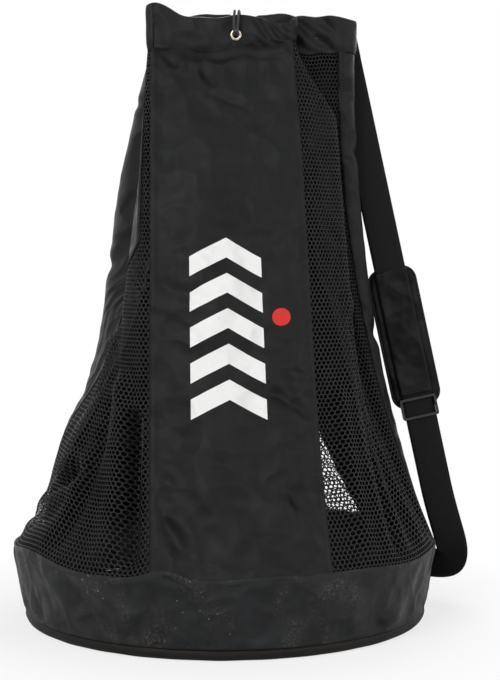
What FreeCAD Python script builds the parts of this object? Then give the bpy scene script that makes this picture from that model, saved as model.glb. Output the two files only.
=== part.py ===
import FreeCAD, Part
import math
import os

# Mesh gear bag with a drawstring mouth and a padded shoulder strap. Millimetres, +Z up.
# The origin is the centre of the round floor. The front panel faces -Y, the strap hangs on the +X side.

Vec = FreeCAD.Vector

# Base tub
tub_top_radius = 329.2
tub_flare = 16.7
tub_top = 112.0
tub_thickness = 2.4
edge_radius = tub_top_radius - tub_flare
edge_height = 18.0
edge_roll = 8.0
edge_width = 14.5
floor_radius = edge_radius - edge_width
floor_thickness = 3.0

# Cloth of the walls, from the tub's seam to the collar's seam
nylon_thickness = 1.6
net_thickness = 1.6
wall_radius = tub_top_radius - tub_thickness / 2
collar_seam = 877.0
seam_gap = 0.6
sewn_gap = 0.4
sewn_clearance = 0.3

# Seam tapes inside the bag
tape_width = 18.0
tape_thickness = 1.0
tape_clearance = 0.7

# Cord, its washer and its eyelet
cord_diameter = 4.0
cord_gap = 0.4
cord_turn = cord_diameter
strand_spacing = cord_diameter + 0.2
knot_radius = 8.0
eyelet_x = 17.0
eyelet_height = 20.0
eyelet_hole_radius = (strand_spacing + cord_diameter) / 2 + 0.2
eyelet_barrel_radius = eyelet_hole_radius + 0.5
eyelet_cut_radius = eyelet_barrel_radius + 0.2
eyelet_flange_radius = eyelet_barrel_radius + 3.7
eyelet_flange_thickness = 1.2
eyelet_barrel_reach = 0.1
washer_radius = eyelet_flange_radius - 1.0
washer_thickness = 1.0

# Collar, the folded band with the cord's channel in it
collar_height = 53.0
collar_cloth = 1.2
channel_depth = cord_diameter + washer_thickness + cord_gap + 2 * sewn_clearance
collar_depth = channel_depth + 2 * collar_cloth
channel_floor = 2.0
cord_inset = channel_depth / 2 - sewn_clearance - cord_diameter / 2

# Pleats of the closed mouth: the collar's path is straight runs and half turns
fold_radius = 8.0
right_end_radius = 22.0
left_end_radius = right_end_radius + 2 * fold_radius
mouth_start = (-109.0, -38.0)
front_run = 209.0
right_pleat_run = 44.0
right_run = 124.0
rear_run = 200.0
rear_pleat_run = 80.0
left_tuck_run = 79.0
left_pleat_run = 109.0

# Below the collar the right pleat slides along the mouth's path, over this share of the height
pleat_slide = 54.0
pleat_slide_height = 0.16
outer_rear_run = (front_run - right_pleat_run + right_run - rear_run + rear_pleat_run
                  + left_tuck_run - left_pleat_run)

# Where the six panels meet, as degrees round the tub from the front (+ towards +X)
front_left_seam = -17.5
front_right_seam = 26.5
right_front_seam = 90.0
right_rear_seam = 132.0
left_rear_seam = 204.0
left_front_seam = 265.0
trail_degrees = 20.0
trail_height = 0.24
rear_net_before_fold = 20.0
rear_net_on_outer_run = 60.0
left_panel_tuck = 49.0

# The left side's net swells a little above the tub, in shares of the height
left_bulge = 0.08
left_bulge_height = 0.22
left_bulge_spread = 0.1

# How finely the cloth's surfaces are set out
column_step = 6.0
wall_rows = [0.0, 0.03, 0.06, 0.1, 0.14, 0.19, 0.24, 0.3, 0.36, 0.43, 0.5, 0.64, 0.76, 0.86, 0.9, 0.94, 0.97,
             1.0]

# Shoulder strap: straight from the collar's back to beside the tub, then a loop to the tub's side
webbing_width = 50.0
webbing_thickness = 2.0
tab_clearance = 0.5
tab_height = 46.0
tab_overlap = 4.0
strap_below_rim = 13.0
strap_end_margin = 0.9
strap_out_of_tub = 8.6
strap_straight_end = 197.0
straight_steps = 20
loop_steps = 12
loop_reach = 120.0
loop_far_out = 75.8
loop_far_y = 75.0
loop_far_z = 45.0
loop_twist = 0.2
top_hinge_in = 25.0
bottom_hinge_angle = 111.0
bottom_hinge_z = 58.0
tab_edge_inset = 1.0
tab_reach = 4.224983
tab_wall_gap = 0.8
tab_tip_gap = webbing_thickness / 2 + 1.0

# Shoulder pad, on the straight part of the strap
pad_centre_z = 430.0
pad_length = 230.0
pad_width = 80.0
pad_corner = 24.0
foam_thickness = 8.0
skin_thickness = 1.2
tunnel_clearance = 0.4
foam_clearance = 0.6
pad_layer_gap = 0.3
pad_tail = 22.0
binding_width = 3.0
binding_over_backing = 0.6
binding_slider_gap = 1.0

# Slider buckle, just below the pad
slider_below_pad_centre = 114.0
slider_length = 34.0
slider_bar = 4.0
slider_rounding = 3.6
slider_side_gap = 0.4
slider_face_gap = 0.3

# Overshoot of a cutting tool past the face that it cuts
overcut = 1.0


def build_path(start, turns):
    """Points, headings and lengths of a flat path made of straight runs and arcs."""
    x, y = start
    heading = 0.0
    pieces = []
    for kind, size, angle in turns:
        if kind == "run":
            end = (x + size * math.cos(heading), y + size * math.sin(heading))
            pieces.append(("run", (x, y), heading, size, None, 0.0))
            x, y = end
        else:
            side = 1.0 if angle > 0 else -1.0
            centre = (x - side * size * math.sin(heading), y + side * size * math.cos(heading))
            pieces.append(("arc", (x, y), heading, abs(math.radians(angle)) * size, centre, side * size))
            heading += math.radians(angle)
            x = centre[0] + side * size * math.sin(heading)
            y = centre[1] - side * size * math.cos(heading)
    return pieces


def point_on_piece(piece, along):
    kind, start, heading, length, centre, radius = piece
    if kind == "run":
        return (start[0] + along * math.cos(heading), start[1] + along * math.sin(heading))
    turned = heading + along / radius
    return (centre[0] + radius * math.sin(turned), centre[1] - radius * math.cos(turned))


def point_on_path(pieces, along):
    for piece in pieces[:-1]:
        if along <= piece[3]:
            return point_on_piece(piece, along)
        along -= piece[3]
    return point_on_piece(pieces[-1], along)


def path_edges(pieces, z):
    edges = []
    for piece in pieces:
        first, middle, last = (Vec(*point_on_piece(piece, piece[3] * share), z) for share in (0.0, 0.5, 1.0))
        if piece[0] == "run":
            edges.append(Part.makeLine(first, last))
        else:
            edges.append(Part.Arc(first, middle, last).toShape())
    return edges


def mouth_turns(inset=0.0):
    """The mouth's path, or one that lies inset further inside the bag."""
    left_fold = fold_radius - inset
    right_fold = fold_radius + inset
    return [
        ("run", front_run, 0), ("arc", left_fold, 180),
        ("run", right_pleat_run, 0), ("arc", right_fold, -180),
        ("run", right_run, 0), ("arc", right_end_radius - inset, 180),
        ("run", rear_run, 0), ("arc", right_fold, -180),
        ("run", rear_pleat_run, 0), ("arc", left_fold, 180),
        ("run", outer_rear_run, 0), ("arc", left_end_radius - inset, 180),
        ("run", left_tuck_run, 0), ("arc", right_fold, -180),
        ("run", left_pleat_run, 0), ("arc", left_fold, 180),
    ]


mouth = build_path(mouth_start, mouth_turns())
corners = [0.0]
for piece in mouth:
    corners.append(corners[-1] + piece[3])
mouth_length = corners[-1]

# Places that follow from the mouth's path
collar_rim = collar_seam + collar_height
collar_face = mouth_start[1] - collar_depth / 2
channel_face = mouth_start[1] - channel_depth / 2
collar_back = point_on_path(mouth, corners[6])[1] + collar_depth / 2
collar_right = point_on_path(mouth, corners[5])[0] + right_end_radius + collar_depth / 2
cord_z = collar_seam + eyelet_height
cord_exit_y = mouth_start[1] + cord_inset - cord_turn

# Each panel: node, degrees at the tub, lengths along the mouth's path, thickness
panels = [
    ("front_panel", front_left_seam, front_right_seam, 0.0, corners[1], nylon_thickness),
    ("front_right_net", front_right_seam, right_front_seam, corners[1], corners[5], net_thickness),
    ("right_panel", right_front_seam, right_rear_seam, corners[5], corners[7] - rear_net_before_fold,
     nylon_thickness),
    ("rear_net", right_rear_seam, left_rear_seam, corners[7] - rear_net_before_fold,
     corners[10] + rear_net_on_outer_run, net_thickness),
    ("left_panel", left_rear_seam, left_front_seam, corners[10] + rear_net_on_outer_run,
     corners[12] + left_panel_tuck, nylon_thickness),
    ("front_left_net", left_front_seam, 360.0 + front_left_seam, corners[12] + left_panel_tuck,
     mouth_length, net_thickness),
]


def closing(t, angle):
    """Share of the way from the tub's circle to the mouth's path at height share t."""
    side = math.sin(angle)
    ends = math.cos(2 * angle)
    left = max(0.0, -side) ** 2
    low = 0.64 - 0.025 * side - 0.135 * ends - 0.19 * left
    high = 0.555 + 0.24 * side - 0.205 * ends + 0.11 * left
    bulge = left_bulge * left * math.exp(-((t - left_bulge_height) / left_bulge_spread) ** 2)
    return 3 * (1 - t) ** 2 * t * low + 3 * (1 - t) * t ** 2 * high + t ** 3 - bulge


def mouth_point(along, t):
    """Place on the mouth's path for the cloth at height share t, with the right pleat slid along."""
    rest = min((1 - t) / pleat_slide_height, 1.0)
    slide = pleat_slide * rest * rest * (3 - 2 * rest)
    pleat_start, pleat_end = corners[1], corners[4]
    if pleat_start < along <= pleat_start + slide:
        x, y = point_on_path(mouth, pleat_start)
        return x + along - pleat_start, y
    if pleat_start + slide < along <= pleat_end + slide:
        x, y = point_on_path(mouth, along - slide)
        return x + slide, y
    return point_on_path(mouth, along)


def seam_angle(degrees, t):
    """Where a seam stands round the bag at height share t: one of them trails back near the tub."""
    if degrees != left_front_seam or t >= trail_height:
        return degrees
    return degrees - trail_degrees * (1 - t / trail_height) ** 2


def wall_point(panel, p, t):
    """Middle of the cloth at share p across the panel and share t of the height."""
    angle = math.radians(seam_angle(panel[1], t) * (1 - p) + seam_angle(panel[2], t) * p)
    mouth_x, mouth_y = mouth_point(panel[3] + p * (panel[4] - panel[3]), t)
    share = closing(t, angle)
    low = tub_top + sewn_gap
    high = collar_seam - sewn_gap
    return Vec(
        (1 - share) * wall_radius * math.sin(angle) + share * mouth_x,
        -(1 - share) * wall_radius * math.cos(angle) + share * mouth_y,
        low + t * (high - low),
    )


def wall_normal(panel, p, t):
    step = 0.002
    p_low, p_high = max(p - step, 0.0), min(p + step, 1.0)
    t_low, t_high = max(t - step, 0.0), min(t + step, 1.0)
    across = wall_point(panel, p_high, t) - wall_point(panel, p_low, t)
    up = wall_point(panel, p, t_high) - wall_point(panel, p, t_low)
    normal = across.cross(up).normalize()
    if t in (0.0, 1.0):
        normal = Vec(normal.x, normal.y, 0).normalize()
    return normal


def strip(first, second):
    """Ruled face between two splines that run side by side."""
    surface = Part.BSplineSurface()
    surface.buildFromNSections([first, second])
    return surface.toShape()


def sheet(outer, inner, flat_ends):
    """Closed solid between two grids of points that face each other, with flat or ruled ends."""
    surfaces = []
    for grid in (outer, inner):
        surface = Part.BSplineSurface()
        surface.interpolate(grid)
        surfaces.append(surface)
    faces = [surface.toShape() for surface in surfaces]
    sides = []
    ends = []
    for surface in surfaces:
        u_low, u_high, v_low, v_high = surface.bounds()
        sides.append([surface.uIso(u_low), surface.uIso(u_high)])
        ends.append([surface.vIso(v_low), surface.vIso(v_high)])
    for first, second in zip(*sides):
        faces.append(strip(first, second))
    for first, second in zip(*ends):
        if flat_ends:
            starts = Part.makeLine(first.StartPoint, second.StartPoint)
            stops = Part.makeLine(first.EndPoint, second.EndPoint)
            edges = [first.toShape(), starts, second.toShape(), stops]
            faces.append(Part.Face(Part.Wire(Part.sortEdges(edges)[0])))
        else:
            faces.append(strip(first, second))
    skin = Part.Compound(faces)
    skin.sewShape()
    solid = Part.makeSolid(skin.Shells[0])
    if solid.Volume < 0:
        solid.reverse()
    return solid


def panel_columns(panel):
    """Evenly spaced shares across a panel, clear of its neighbours at both seams."""
    width = panel[4] - panel[3]
    edge = seam_gap / 2 / width
    steps = math.ceil(width / column_step)
    return [edge + (1 - 2 * edge) * step / steps for step in range(steps + 1)]


def make_panel(panel):
    half = panel[5] / 2
    outer = []
    inner = []
    for p in panel_columns(panel):
        middles = [wall_point(panel, p, t) for t in wall_rows]
        normals = [wall_normal(panel, p, t) for t in wall_rows]
        outer.append([middle + normal * half for middle, normal in zip(middles, normals)])
        inner.append([middle - normal * half for middle, normal in zip(middles, normals)])
    return sheet(outer, inner, True)


def make_seam_tape(before, after):
    """Tape inside the seam where one panel ends and the next begins."""
    outer = []
    inner = []
    for side in (-0.5, -0.3, -0.1, 0.1, 0.3, 0.5):
        panel = before if side < 0 else after
        offset = tape_width * abs(side) / (panel[4] - panel[3])
        p = 1 - offset if side < 0 else offset
        outer_row = []
        inner_row = []
        for t in wall_rows:
            middle = wall_point(panel, p, t)
            normal = wall_normal(panel, p, t)
            depth = panel[5] / 2 + tape_clearance
            outer_row.append(middle - normal * depth)
            inner_row.append(middle - normal * (depth + tape_thickness))
        outer.append(outer_row)
        inner.append(inner_row)
    return sheet(outer, inner, True)


def spun(profile):
    """Solid of revolution about Z from (radius, z) points."""
    points = [Vec(radius, 0, z) for radius, z in profile]
    face = Part.Face(Part.makePolygon(points + points[:1]))
    return face.revolve(Vec(0, 0, 0), Vec(0, 0, 1), 360)


def make_floor():
    return Part.makeCylinder(floor_radius, floor_thickness)


def make_rolled_edge():
    inner = floor_radius + sewn_clearance
    low = edge_radius - edge_roll
    middle = edge_roll * (1 - math.cos(math.pi / 4))
    lip = edge_radius - 2 * tub_thickness
    edges = [
        Part.makeLine(Vec(inner, 0, 0), Vec(low, 0, 0)),
        Part.Arc(
            Vec(low, 0, 0), Vec(edge_radius - middle, 0, middle), Vec(edge_radius, 0, edge_roll)
        ).toShape(),
        Part.makeLine(Vec(edge_radius, 0, edge_roll), Vec(edge_radius, 0, edge_height)),
        Part.makeLine(Vec(edge_radius, 0, edge_height), Vec(lip, 0, edge_height)),
        Part.makeLine(Vec(lip, 0, edge_height), Vec(inner, 0, floor_thickness)),
        Part.makeLine(Vec(inner, 0, floor_thickness), Vec(inner, 0, 0)),
    ]
    return Part.Face(Part.Wire(edges)).revolve(Vec(0, 0, 0), Vec(0, 0, 1), 360)


def tub_outside(z):
    """Radius of the tub's outer face at height z."""
    share = (z - edge_height) / (tub_top - edge_height)
    return edge_radius + share * (tub_top_radius - edge_radius)


def make_tub():
    low = edge_height + sewn_clearance
    return spun([
        (tub_outside(low) - tub_thickness, low), (tub_outside(low), low),
        (tub_outside(tub_top), tub_top), (tub_outside(tub_top) - tub_thickness, tub_top),
    ])


def make_tub_tape():
    high = tub_top - sewn_clearance
    low = high - tape_width
    inset = tub_thickness + sewn_clearance
    return spun([
        (tub_outside(low) - inset - tape_thickness, low), (tub_outside(low) - inset, low),
        (tub_outside(high) - inset, high), (tub_outside(high) - inset - tape_thickness, high),
    ])


def ring_prism(depth, low, high):
    """Band of the given depth along the mouth's path, between two heights."""
    rims = []
    for inset in (-depth / 2, depth / 2):
        start = (mouth_start[0], mouth_start[1] + inset)
        wire = Part.Wire(path_edges(build_path(start, mouth_turns(inset)), low))
        rims.append(Part.Face(wire).extrude(Vec(0, 0, high - low)))
    return rims[0].cut(rims[1])


def make_collar():
    band = ring_prism(collar_depth, collar_seam, collar_seam + collar_height)
    channel = ring_prism(channel_depth, collar_seam + channel_floor, collar_rim - collar_cloth)
    eyelet_hole = disc_along_y(eyelet_cut_radius, collar_face - overcut, channel_face + overcut)
    return band.cut(channel).cut(eyelet_hole)


def disc_along_y(radius, y_low, y_high):
    """Disc on the eyelet's axis."""
    centre = Vec(eyelet_x, y_low, cord_z)
    return Part.makeCylinder(radius, y_high - y_low, centre, Vec(0, 1, 0))


def make_eyelet():
    flange_back = collar_face - sewn_clearance
    flange_front = flange_back - eyelet_flange_thickness
    barrel_end = channel_face + eyelet_barrel_reach
    flange = disc_along_y(eyelet_flange_radius, flange_front, flange_back)
    barrel = disc_along_y(eyelet_barrel_radius, flange_back, barrel_end)
    hole = disc_along_y(eyelet_hole_radius, flange_front - overcut, barrel_end + overcut)
    return flange.fuse(barrel).cut(hole).removeSplitter()


def make_eyelet_washer():
    front = channel_face + sewn_clearance
    ring = disc_along_y(washer_radius, front, front + washer_thickness)
    return ring.cut(disc_along_y(eyelet_cut_radius, front - overcut, front + washer_thickness + overcut))


def tube(edges, diameter):
    """Round cord along a chain of edges that meet smoothly."""
    wire = Part.Wire(edges)
    start = edges[0].valueAt(edges[0].FirstParameter)
    heading = edges[0].tangentAt(edges[0].FirstParameter)
    circle = Part.Wire(Part.makeCircle(diameter / 2, start, heading))
    return wire.makePipeShell([circle], True, False)


def make_drawcord():
    """Cord round the channel, from the eyelet and back to it."""
    row = mouth_start[1] + cord_inset
    inner = build_path((mouth_start[0], row), mouth_turns(cord_inset))
    loop = path_edges(inner, cord_z)
    turn_end = row - cord_turn
    ends = []
    for side in (1, -1):
        strand = eyelet_x + side * strand_spacing / 2
        run_start = Vec(strand + side * cord_turn, row, cord_z)
        centre = Vec(strand + side * cord_turn, turn_end, cord_z)
        middle = centre + Vec(-side, 1, 0) * (cord_turn * math.sqrt(0.5))
        tip = Vec(strand, turn_end, cord_z)
        ends.append((tip, middle, run_start))
    right, left = ends
    edges = [Part.Arc(right[0], right[1], right[2]).toShape()]
    edges.append(Part.makeLine(right[2], loop[0].valueAt(loop[0].LastParameter)))
    edges += loop[1:]
    edges.append(Part.makeLine(loop[-1].valueAt(loop[-1].LastParameter), left[2]))
    edges.append(Part.Arc(left[2], left[1], left[0]).toShape())
    return tube(edges, cord_diameter)


# Each tail's route after it leaves the eyelet: up the collar's face, over its rim and down inside the bag.
# The points are (x offset from the strand's hole, y, z).
tail_routes = {
    "drawcord_tail_right": [
        (0.0, cord_exit_y, cord_z), (0.0, -51.0, cord_z), (0.6, -51.2, 912.0), (1.8, -50.4, 929.0),
        (2.6, -44.5, 939.5), (3.4, -32.0, 940.0), (4.2, -26.0, 924.0), (4.8, -27.5, 893.0),
        (3.0, -24.0, 847.0), (4.4, -28.0, 798.0), (2.6, -26.0, 752.0), (2.6, -26.0, 718.0),
    ],
    "drawcord_tail_left": [
        (0.0, cord_exit_y, cord_z), (0.0, -51.0, cord_z), (-0.8, -51.1, 913.0), (-0.6, -50.2, 929.5),
        (0.4, -43.5, 939.5), (0.2, -31.5, 940.5), (-1.2, -25.5, 923.0), (-2.6, -28.0, 891.0),
        (-1.4, -24.5, 845.0), (-3.6, -27.0, 799.0), (-0.4, -26.0, 754.0), (-0.4, -26.0, 718.0),
    ],
}


def route_points(name):
    side = 1 if name.endswith("right") else -1
    hole = eyelet_x + side * strand_spacing / 2
    return [Vec(hole + x, y, z) for x, y, z in tail_routes[name]]


def cord_along(points, diameter, name):
    """Tube of straight runs joined by arcs as large as the runs allow."""
    edges = []
    at = points[0]
    radii = []
    for before, corner, after in zip(points, points[1:], points[2:]):
        back = (before - corner).normalize()
        ahead = (after - corner).normalize()
        turn = math.pi - back.getAngle(ahead)
        trim = 0.45 * min((before - corner).Length, (after - corner).Length)
        radius = trim / math.tan(turn / 2)
        radii.append(radius)
        first = corner + back * trim
        last = corner + ahead * trim
        inward = (back + ahead).normalize()
        middle = corner + inward * (radius / math.cos(turn / 2) - radius)
        edges.append(Part.makeLine(at, first))
        edges.append(Part.Arc(first, middle, last).toShape())
        at = last
    edges.append(Part.makeLine(at, points[-1]))
    shape = tube(edges, diameter)
    length = sum(edge.Length for edge in edges)
    ideal = math.pi * diameter ** 2 / 4 * length
    print(f"{name}: length {length:.1f}, volume {shape.Volume:.1f} for {ideal:.1f}, radii",
          " ".join(f"{radius:.1f}" for radius in radii))
    return shape


def make_cord_knot():
    ends = [route_points(name)[-1] for name in tail_routes]
    middle = (ends[0] + ends[1]) * 0.5
    drop = math.sqrt(knot_radius ** 2 - ((ends[0] - ends[1]).Length / 2 + cord_diameter / 2) ** 2)
    ball = Part.makeSphere(knot_radius, middle - Vec(0, 0, drop))
    top = Part.makeBox(4 * knot_radius, 4 * knot_radius, 2 * knot_radius)
    top.translate(Vec(middle.x - 2 * knot_radius, middle.y - 2 * knot_radius, middle.z))
    return ball.cut(top)


strap_plane_y = collar_back + sewn_clearance + webbing_thickness + tab_clearance + webbing_thickness / 2
strap_top = collar_rim - strap_below_rim
strap_top_x = collar_right - webbing_width / 2 - strap_end_margin
strap_slope = (tub_top_radius + strap_out_of_tub - strap_top_x) / (strap_top - strap_straight_end)
strap_down = Vec(strap_slope, 0, -1).normalize()
strap_across = Vec(1, 0, strap_slope).normalize()


def strap_centre(z):
    """Middle of the webbing on the strap's straight part."""
    return Vec(strap_top_x + (strap_top - z) * strap_slope, strap_plane_y, z)


def tub_side(z, standoff):
    """Place beside the tub at the strap's lower end."""
    angle = math.radians(bottom_hinge_angle)
    radius = tub_outside(z) + standoff
    return Vec(radius * math.sin(angle), -radius * math.cos(angle), z)


# The line that the strap swings about runs through its two sewn ends. The lower one stands out of
# the tub by enough for the tab's whole width, however much the strap and the tub's side lean.
top_hinge = Vec(strap_top_x - top_hinge_in, strap_plane_y, strap_top)
hinge_lean = (tub_top_radius - strap_top_x) / (strap_top - bottom_hinge_z)
tub_lean = tub_flare / (tub_top - edge_height)
bottom_hinge_standoff = tab_reach + webbing_width / 2 * (hinge_lean + tub_lean)
bottom_hinge = tub_side(bottom_hinge_z, bottom_hinge_standoff)
hinge_axis = (top_hinge - bottom_hinge).normalize()


def strap_stations():
    """Centres and width directions along the webbing: straight, then looping back to the tub."""
    stations = []
    z_step = (strap_top - strap_straight_end) / straight_steps
    for step in range(straight_steps + 1):
        stations.append((strap_centre(strap_top - step * z_step), strap_across))
    start = strap_centre(strap_straight_end)
    end = bottom_hinge
    near = start + strap_down * loop_reach
    far = Vec(tub_top_radius + loop_far_out, loop_far_y, loop_far_z)
    for step in range(1, loop_steps + 1):
        share = step / loop_steps
        rest = 1 - share
        centre = start * rest ** 3 + near * (3 * rest ** 2 * share)
        centre = centre + far * (3 * rest * share ** 2) + end * share ** 3
        heading = (near - start) * rest ** 2 + (far - near) * (2 * rest * share) + (end - far) * share ** 2
        heading.normalize()
        blend = share * share * (3 - 2 * share)
        width = strap_across * (1 - blend) - hinge_axis * blend
        width = width + strap_down * (loop_twist * math.sin(math.pi * share))
        if step < loop_steps:
            width = width - heading * width.dot(heading)
        stations.append((centre, width.normalize()))
    return stations


def make_webbing():
    stations = strap_stations()
    outer = []
    inner = []
    for index, (centre, width) in enumerate(stations):
        before = stations[max(index - 1, 0)][0]
        after = stations[min(index + 1, len(stations) - 1)][0]
        normal = width.cross(after - before).normalize() * (webbing_thickness / 2)
        rows = [centre + width * (webbing_width * share) for share in (-0.5, 0.0, 0.5)]
        outer.append([row - normal for row in rows])
        inner.append([row + normal for row in rows])
    return sheet(outer, inner, False)


def make_top_tab():
    """Sewn patch on the collar's back that carries the strap's upper end."""
    low = strap_centre(strap_top - tab_height)
    high = strap_centre(strap_top + tab_overlap)
    half = strap_across * (webbing_width / 2)
    points = [low - half, low + half, high + half, high - half]
    outline = [Vec(point.x, collar_back + sewn_clearance, point.z) for point in points]
    face = Part.Face(Part.makePolygon(outline + outline[:1]))
    return face.extrude(Vec(0, webbing_thickness, 0))


def make_bottom_tab():
    """Sewn end of the webbing that stands out from the tub to the strap's lower end."""
    half = webbing_width / 2
    normal = hinge_axis.cross(Vec(1, 0, 0)).normalize()
    middle = bottom_hinge - normal * (webbing_thickness / 2)
    outline = []
    for side in (-1, 1):
        edge = middle + hinge_axis * (side * (half - tab_edge_inset))
        wall = math.sqrt((tub_outside(edge.z) + tab_wall_gap) ** 2 - edge.y ** 2)
        ends = [Vec(wall, edge.y, edge.z), Vec(edge.x - tab_tip_gap, edge.y, edge.z)]
        outline += ends if side < 0 else ends[::-1]
    face = Part.Face(Part.makePolygon(outline + outline[:1]))
    return face.extrude(normal * webbing_thickness)


def on_strap(shape):
    """Puts a shape made about the origin, with its length along Z, on the strap's straight part."""
    angle = -math.degrees(math.atan(strap_slope))
    place = FreeCAD.Placement(strap_centre(pad_centre_z), FreeCAD.Rotation(Vec(0, 1, 0), angle))
    shape.Placement = place.multiply(shape.Placement)
    return shape


def pad_outline(inset, y_low, y_high):
    """Rounded slab in the pad's outline, with its faces at the two depths."""
    half_width = pad_width / 2 - inset
    half_length = pad_length / 2 - inset
    corner_point = Vec(-half_width, y_low, -half_length)
    slab = Part.makeBox(2 * half_width, y_high - y_low, 2 * half_length, corner_point)
    upright = [edge for edge in slab.Edges if abs(edge.tangentAt(edge.FirstParameter).y) > 0.9]
    return slab.makeFillet(pad_corner - inset, upright)


foam_front = webbing_thickness / 2 + foam_clearance
foam_back = foam_front + foam_thickness
backing_front = foam_back + pad_layer_gap
backing_back = backing_front + skin_thickness
pad_working_top = pad_length / 2 - binding_width
pad_working_bottom = -pad_length / 2 + pad_tail


def crossing_box(x_half, y_low, y_high, z_low, z_high):
    return Part.makeBox(2 * x_half, y_high - y_low, z_high - z_low, Vec(-x_half, y_low, z_low))


def make_pad_cover():
    """Front skin with a raised tunnel that the webbing runs through."""
    inset = binding_width + pad_layer_gap
    wing_front = foam_front - pad_layer_gap - skin_thickness
    roof_back = -webbing_thickness / 2 - tunnel_clearance
    tunnel_half = webbing_width / 2 + tunnel_clearance
    body = pad_outline(inset, roof_back - skin_thickness, foam_front - pad_layer_gap)
    for side in (-1, 1):
        shave_back = roof_back - skin_thickness - overcut
        shave = crossing_box(pad_width / 2, shave_back, wing_front, -pad_length, pad_length)
        shave.translate(Vec(side * (tunnel_half + skin_thickness + pad_width / 2), 0, 0))
        body = body.cut(shave)
    body = body.cut(crossing_box(tunnel_half, roof_back, foam_front, -pad_length, pad_length))
    keep = crossing_box(pad_width, -pad_width, pad_width, pad_working_bottom, pad_working_top)
    return on_strap(body.common(keep))


def make_pad_foam():
    body = pad_outline(binding_width + pad_layer_gap, foam_front, foam_back)
    keep = crossing_box(pad_width, -pad_width, pad_width, pad_working_bottom, pad_working_top)
    return on_strap(body.common(keep))


def make_pad_backing():
    return on_strap(pad_outline(binding_width + pad_layer_gap, backing_front, backing_back))


def make_pad_binding():
    front = webbing_thickness / 2 + slider_face_gap + slider_bar + binding_slider_gap
    back = backing_back + binding_over_backing
    ring = pad_outline(0, front, back).cut(pad_outline(binding_width, front - overcut, back + overcut))
    return on_strap(ring)


def make_slider():
    """Three-bar slider: two bars in front of the webbing, the middle bar behind it."""
    rail_in = webbing_width / 2 + slider_side_gap
    rail_out = rail_in + slider_bar
    face = webbing_thickness / 2 + slider_face_gap
    depth = face + slider_bar
    half = slider_length / 2
    body = crossing_box(rail_out, -depth, depth, -half, half)
    upright = [edge for edge in body.Edges if abs(edge.tangentAt(edge.FirstParameter).y) > 0.9]
    body = body.makeFillet(slider_rounding, upright)
    body = body.cut(crossing_box(rail_in, -face, face, -half - overcut, half + overcut))
    body = body.cut(crossing_box(rail_in, -depth - overcut, 0, -half + slider_bar, half - slider_bar))
    for side in (-1, 1):
        notch = crossing_box(rail_in, 0, depth + overcut, slider_bar / 2, half + overcut)
        if side < 0:
            notch.rotate(Vec(0, 0, 0), Vec(0, 1, 0), 180)
        body = body.cut(notch)
    body.translate(Vec(0, 0, -slider_below_pad_centre))
    return on_strap(body)


def build():
    nodes = {
        "base_floor": make_floor(),
        "base_rolled_edge": make_rolled_edge(),
        "base_wall": make_tub(),
        "base_wall_tape": make_tub_tape(),
    }
    for panel in panels:
        nodes[panel[0]] = make_panel(panel)
    for before, after in zip(panels, panels[1:] + panels[:1]):
        nodes[f"seam_tape_{before[0]}"] = make_seam_tape(before, after)
    nodes["collar"] = make_collar()
    nodes["eyelet"] = make_eyelet()
    nodes["eyelet_washer"] = make_eyelet_washer()
    nodes["drawcord"] = make_drawcord()
    for name in tail_routes:
        nodes[name] = cord_along(route_points(name), cord_diameter, name)
    nodes["cord_knot"] = make_cord_knot()
    nodes["strap_top_tab"] = make_top_tab()
    nodes["strap_bottom_tab"] = make_bottom_tab()
    nodes["strap_webbing"] = make_webbing()
    nodes["slider_buckle"] = make_slider()
    nodes["shoulder_pad_cover"] = make_pad_cover()
    nodes["shoulder_pad_foam"] = make_pad_foam()
    nodes["shoulder_pad_backing"] = make_pad_backing()
    nodes["shoulder_pad_binding"] = make_pad_binding()
    return nodes


os.makedirs("parts", exist_ok=True)
for node, shape in build().items():
    shape.exportStep(f"parts/{node}.step")
    box = shape.BoundBox
    print(f"{node}: {len(shape.Solids)} solid, valid {shape.isValid()}, volume {shape.Volume:.0f},",
          f"x {box.XMin:.1f} {box.XMax:.1f} y {box.YMin:.1f} {box.YMax:.1f} z {box.ZMin:.1f} {box.ZMax:.1f}")
print("strap swings about", tuple(top_hinge), "and", tuple(bottom_hinge), "up the strap", tuple(-strap_down))
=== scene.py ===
import bpy
import bmesh
import math
import numpy as np
from mathutils import Matrix, Vector


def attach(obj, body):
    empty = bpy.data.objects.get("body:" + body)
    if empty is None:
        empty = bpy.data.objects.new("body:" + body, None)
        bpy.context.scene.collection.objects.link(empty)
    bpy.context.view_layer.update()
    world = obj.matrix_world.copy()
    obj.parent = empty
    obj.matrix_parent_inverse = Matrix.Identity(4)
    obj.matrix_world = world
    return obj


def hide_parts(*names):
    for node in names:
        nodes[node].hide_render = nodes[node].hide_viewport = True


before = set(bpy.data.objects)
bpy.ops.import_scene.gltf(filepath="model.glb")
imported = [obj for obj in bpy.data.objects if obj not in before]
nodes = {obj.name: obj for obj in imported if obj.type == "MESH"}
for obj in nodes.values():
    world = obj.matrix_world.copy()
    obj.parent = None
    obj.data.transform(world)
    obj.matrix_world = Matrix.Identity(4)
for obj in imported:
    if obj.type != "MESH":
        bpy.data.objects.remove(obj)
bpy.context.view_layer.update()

# ---- camera

view = {
    "place": (0.009, -2.392, 0.552),
    "downDegrees": 2.95,
    "rightDegrees": 0.72,
    "lens": 80.8,
}


def addCamera():
    data = bpy.data.cameras.new("camera")
    data.lens = view["lens"]
    camera = bpy.data.objects.new("camera", data)
    camera.location = view["place"]
    camera.rotation_euler = (math.radians(90 - view["downDegrees"]), 0, -math.radians(view["rightDegrees"]))
    bpy.context.scene.collection.objects.link(camera)
    bpy.context.scene.camera = camera


# ---- materials

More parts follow.
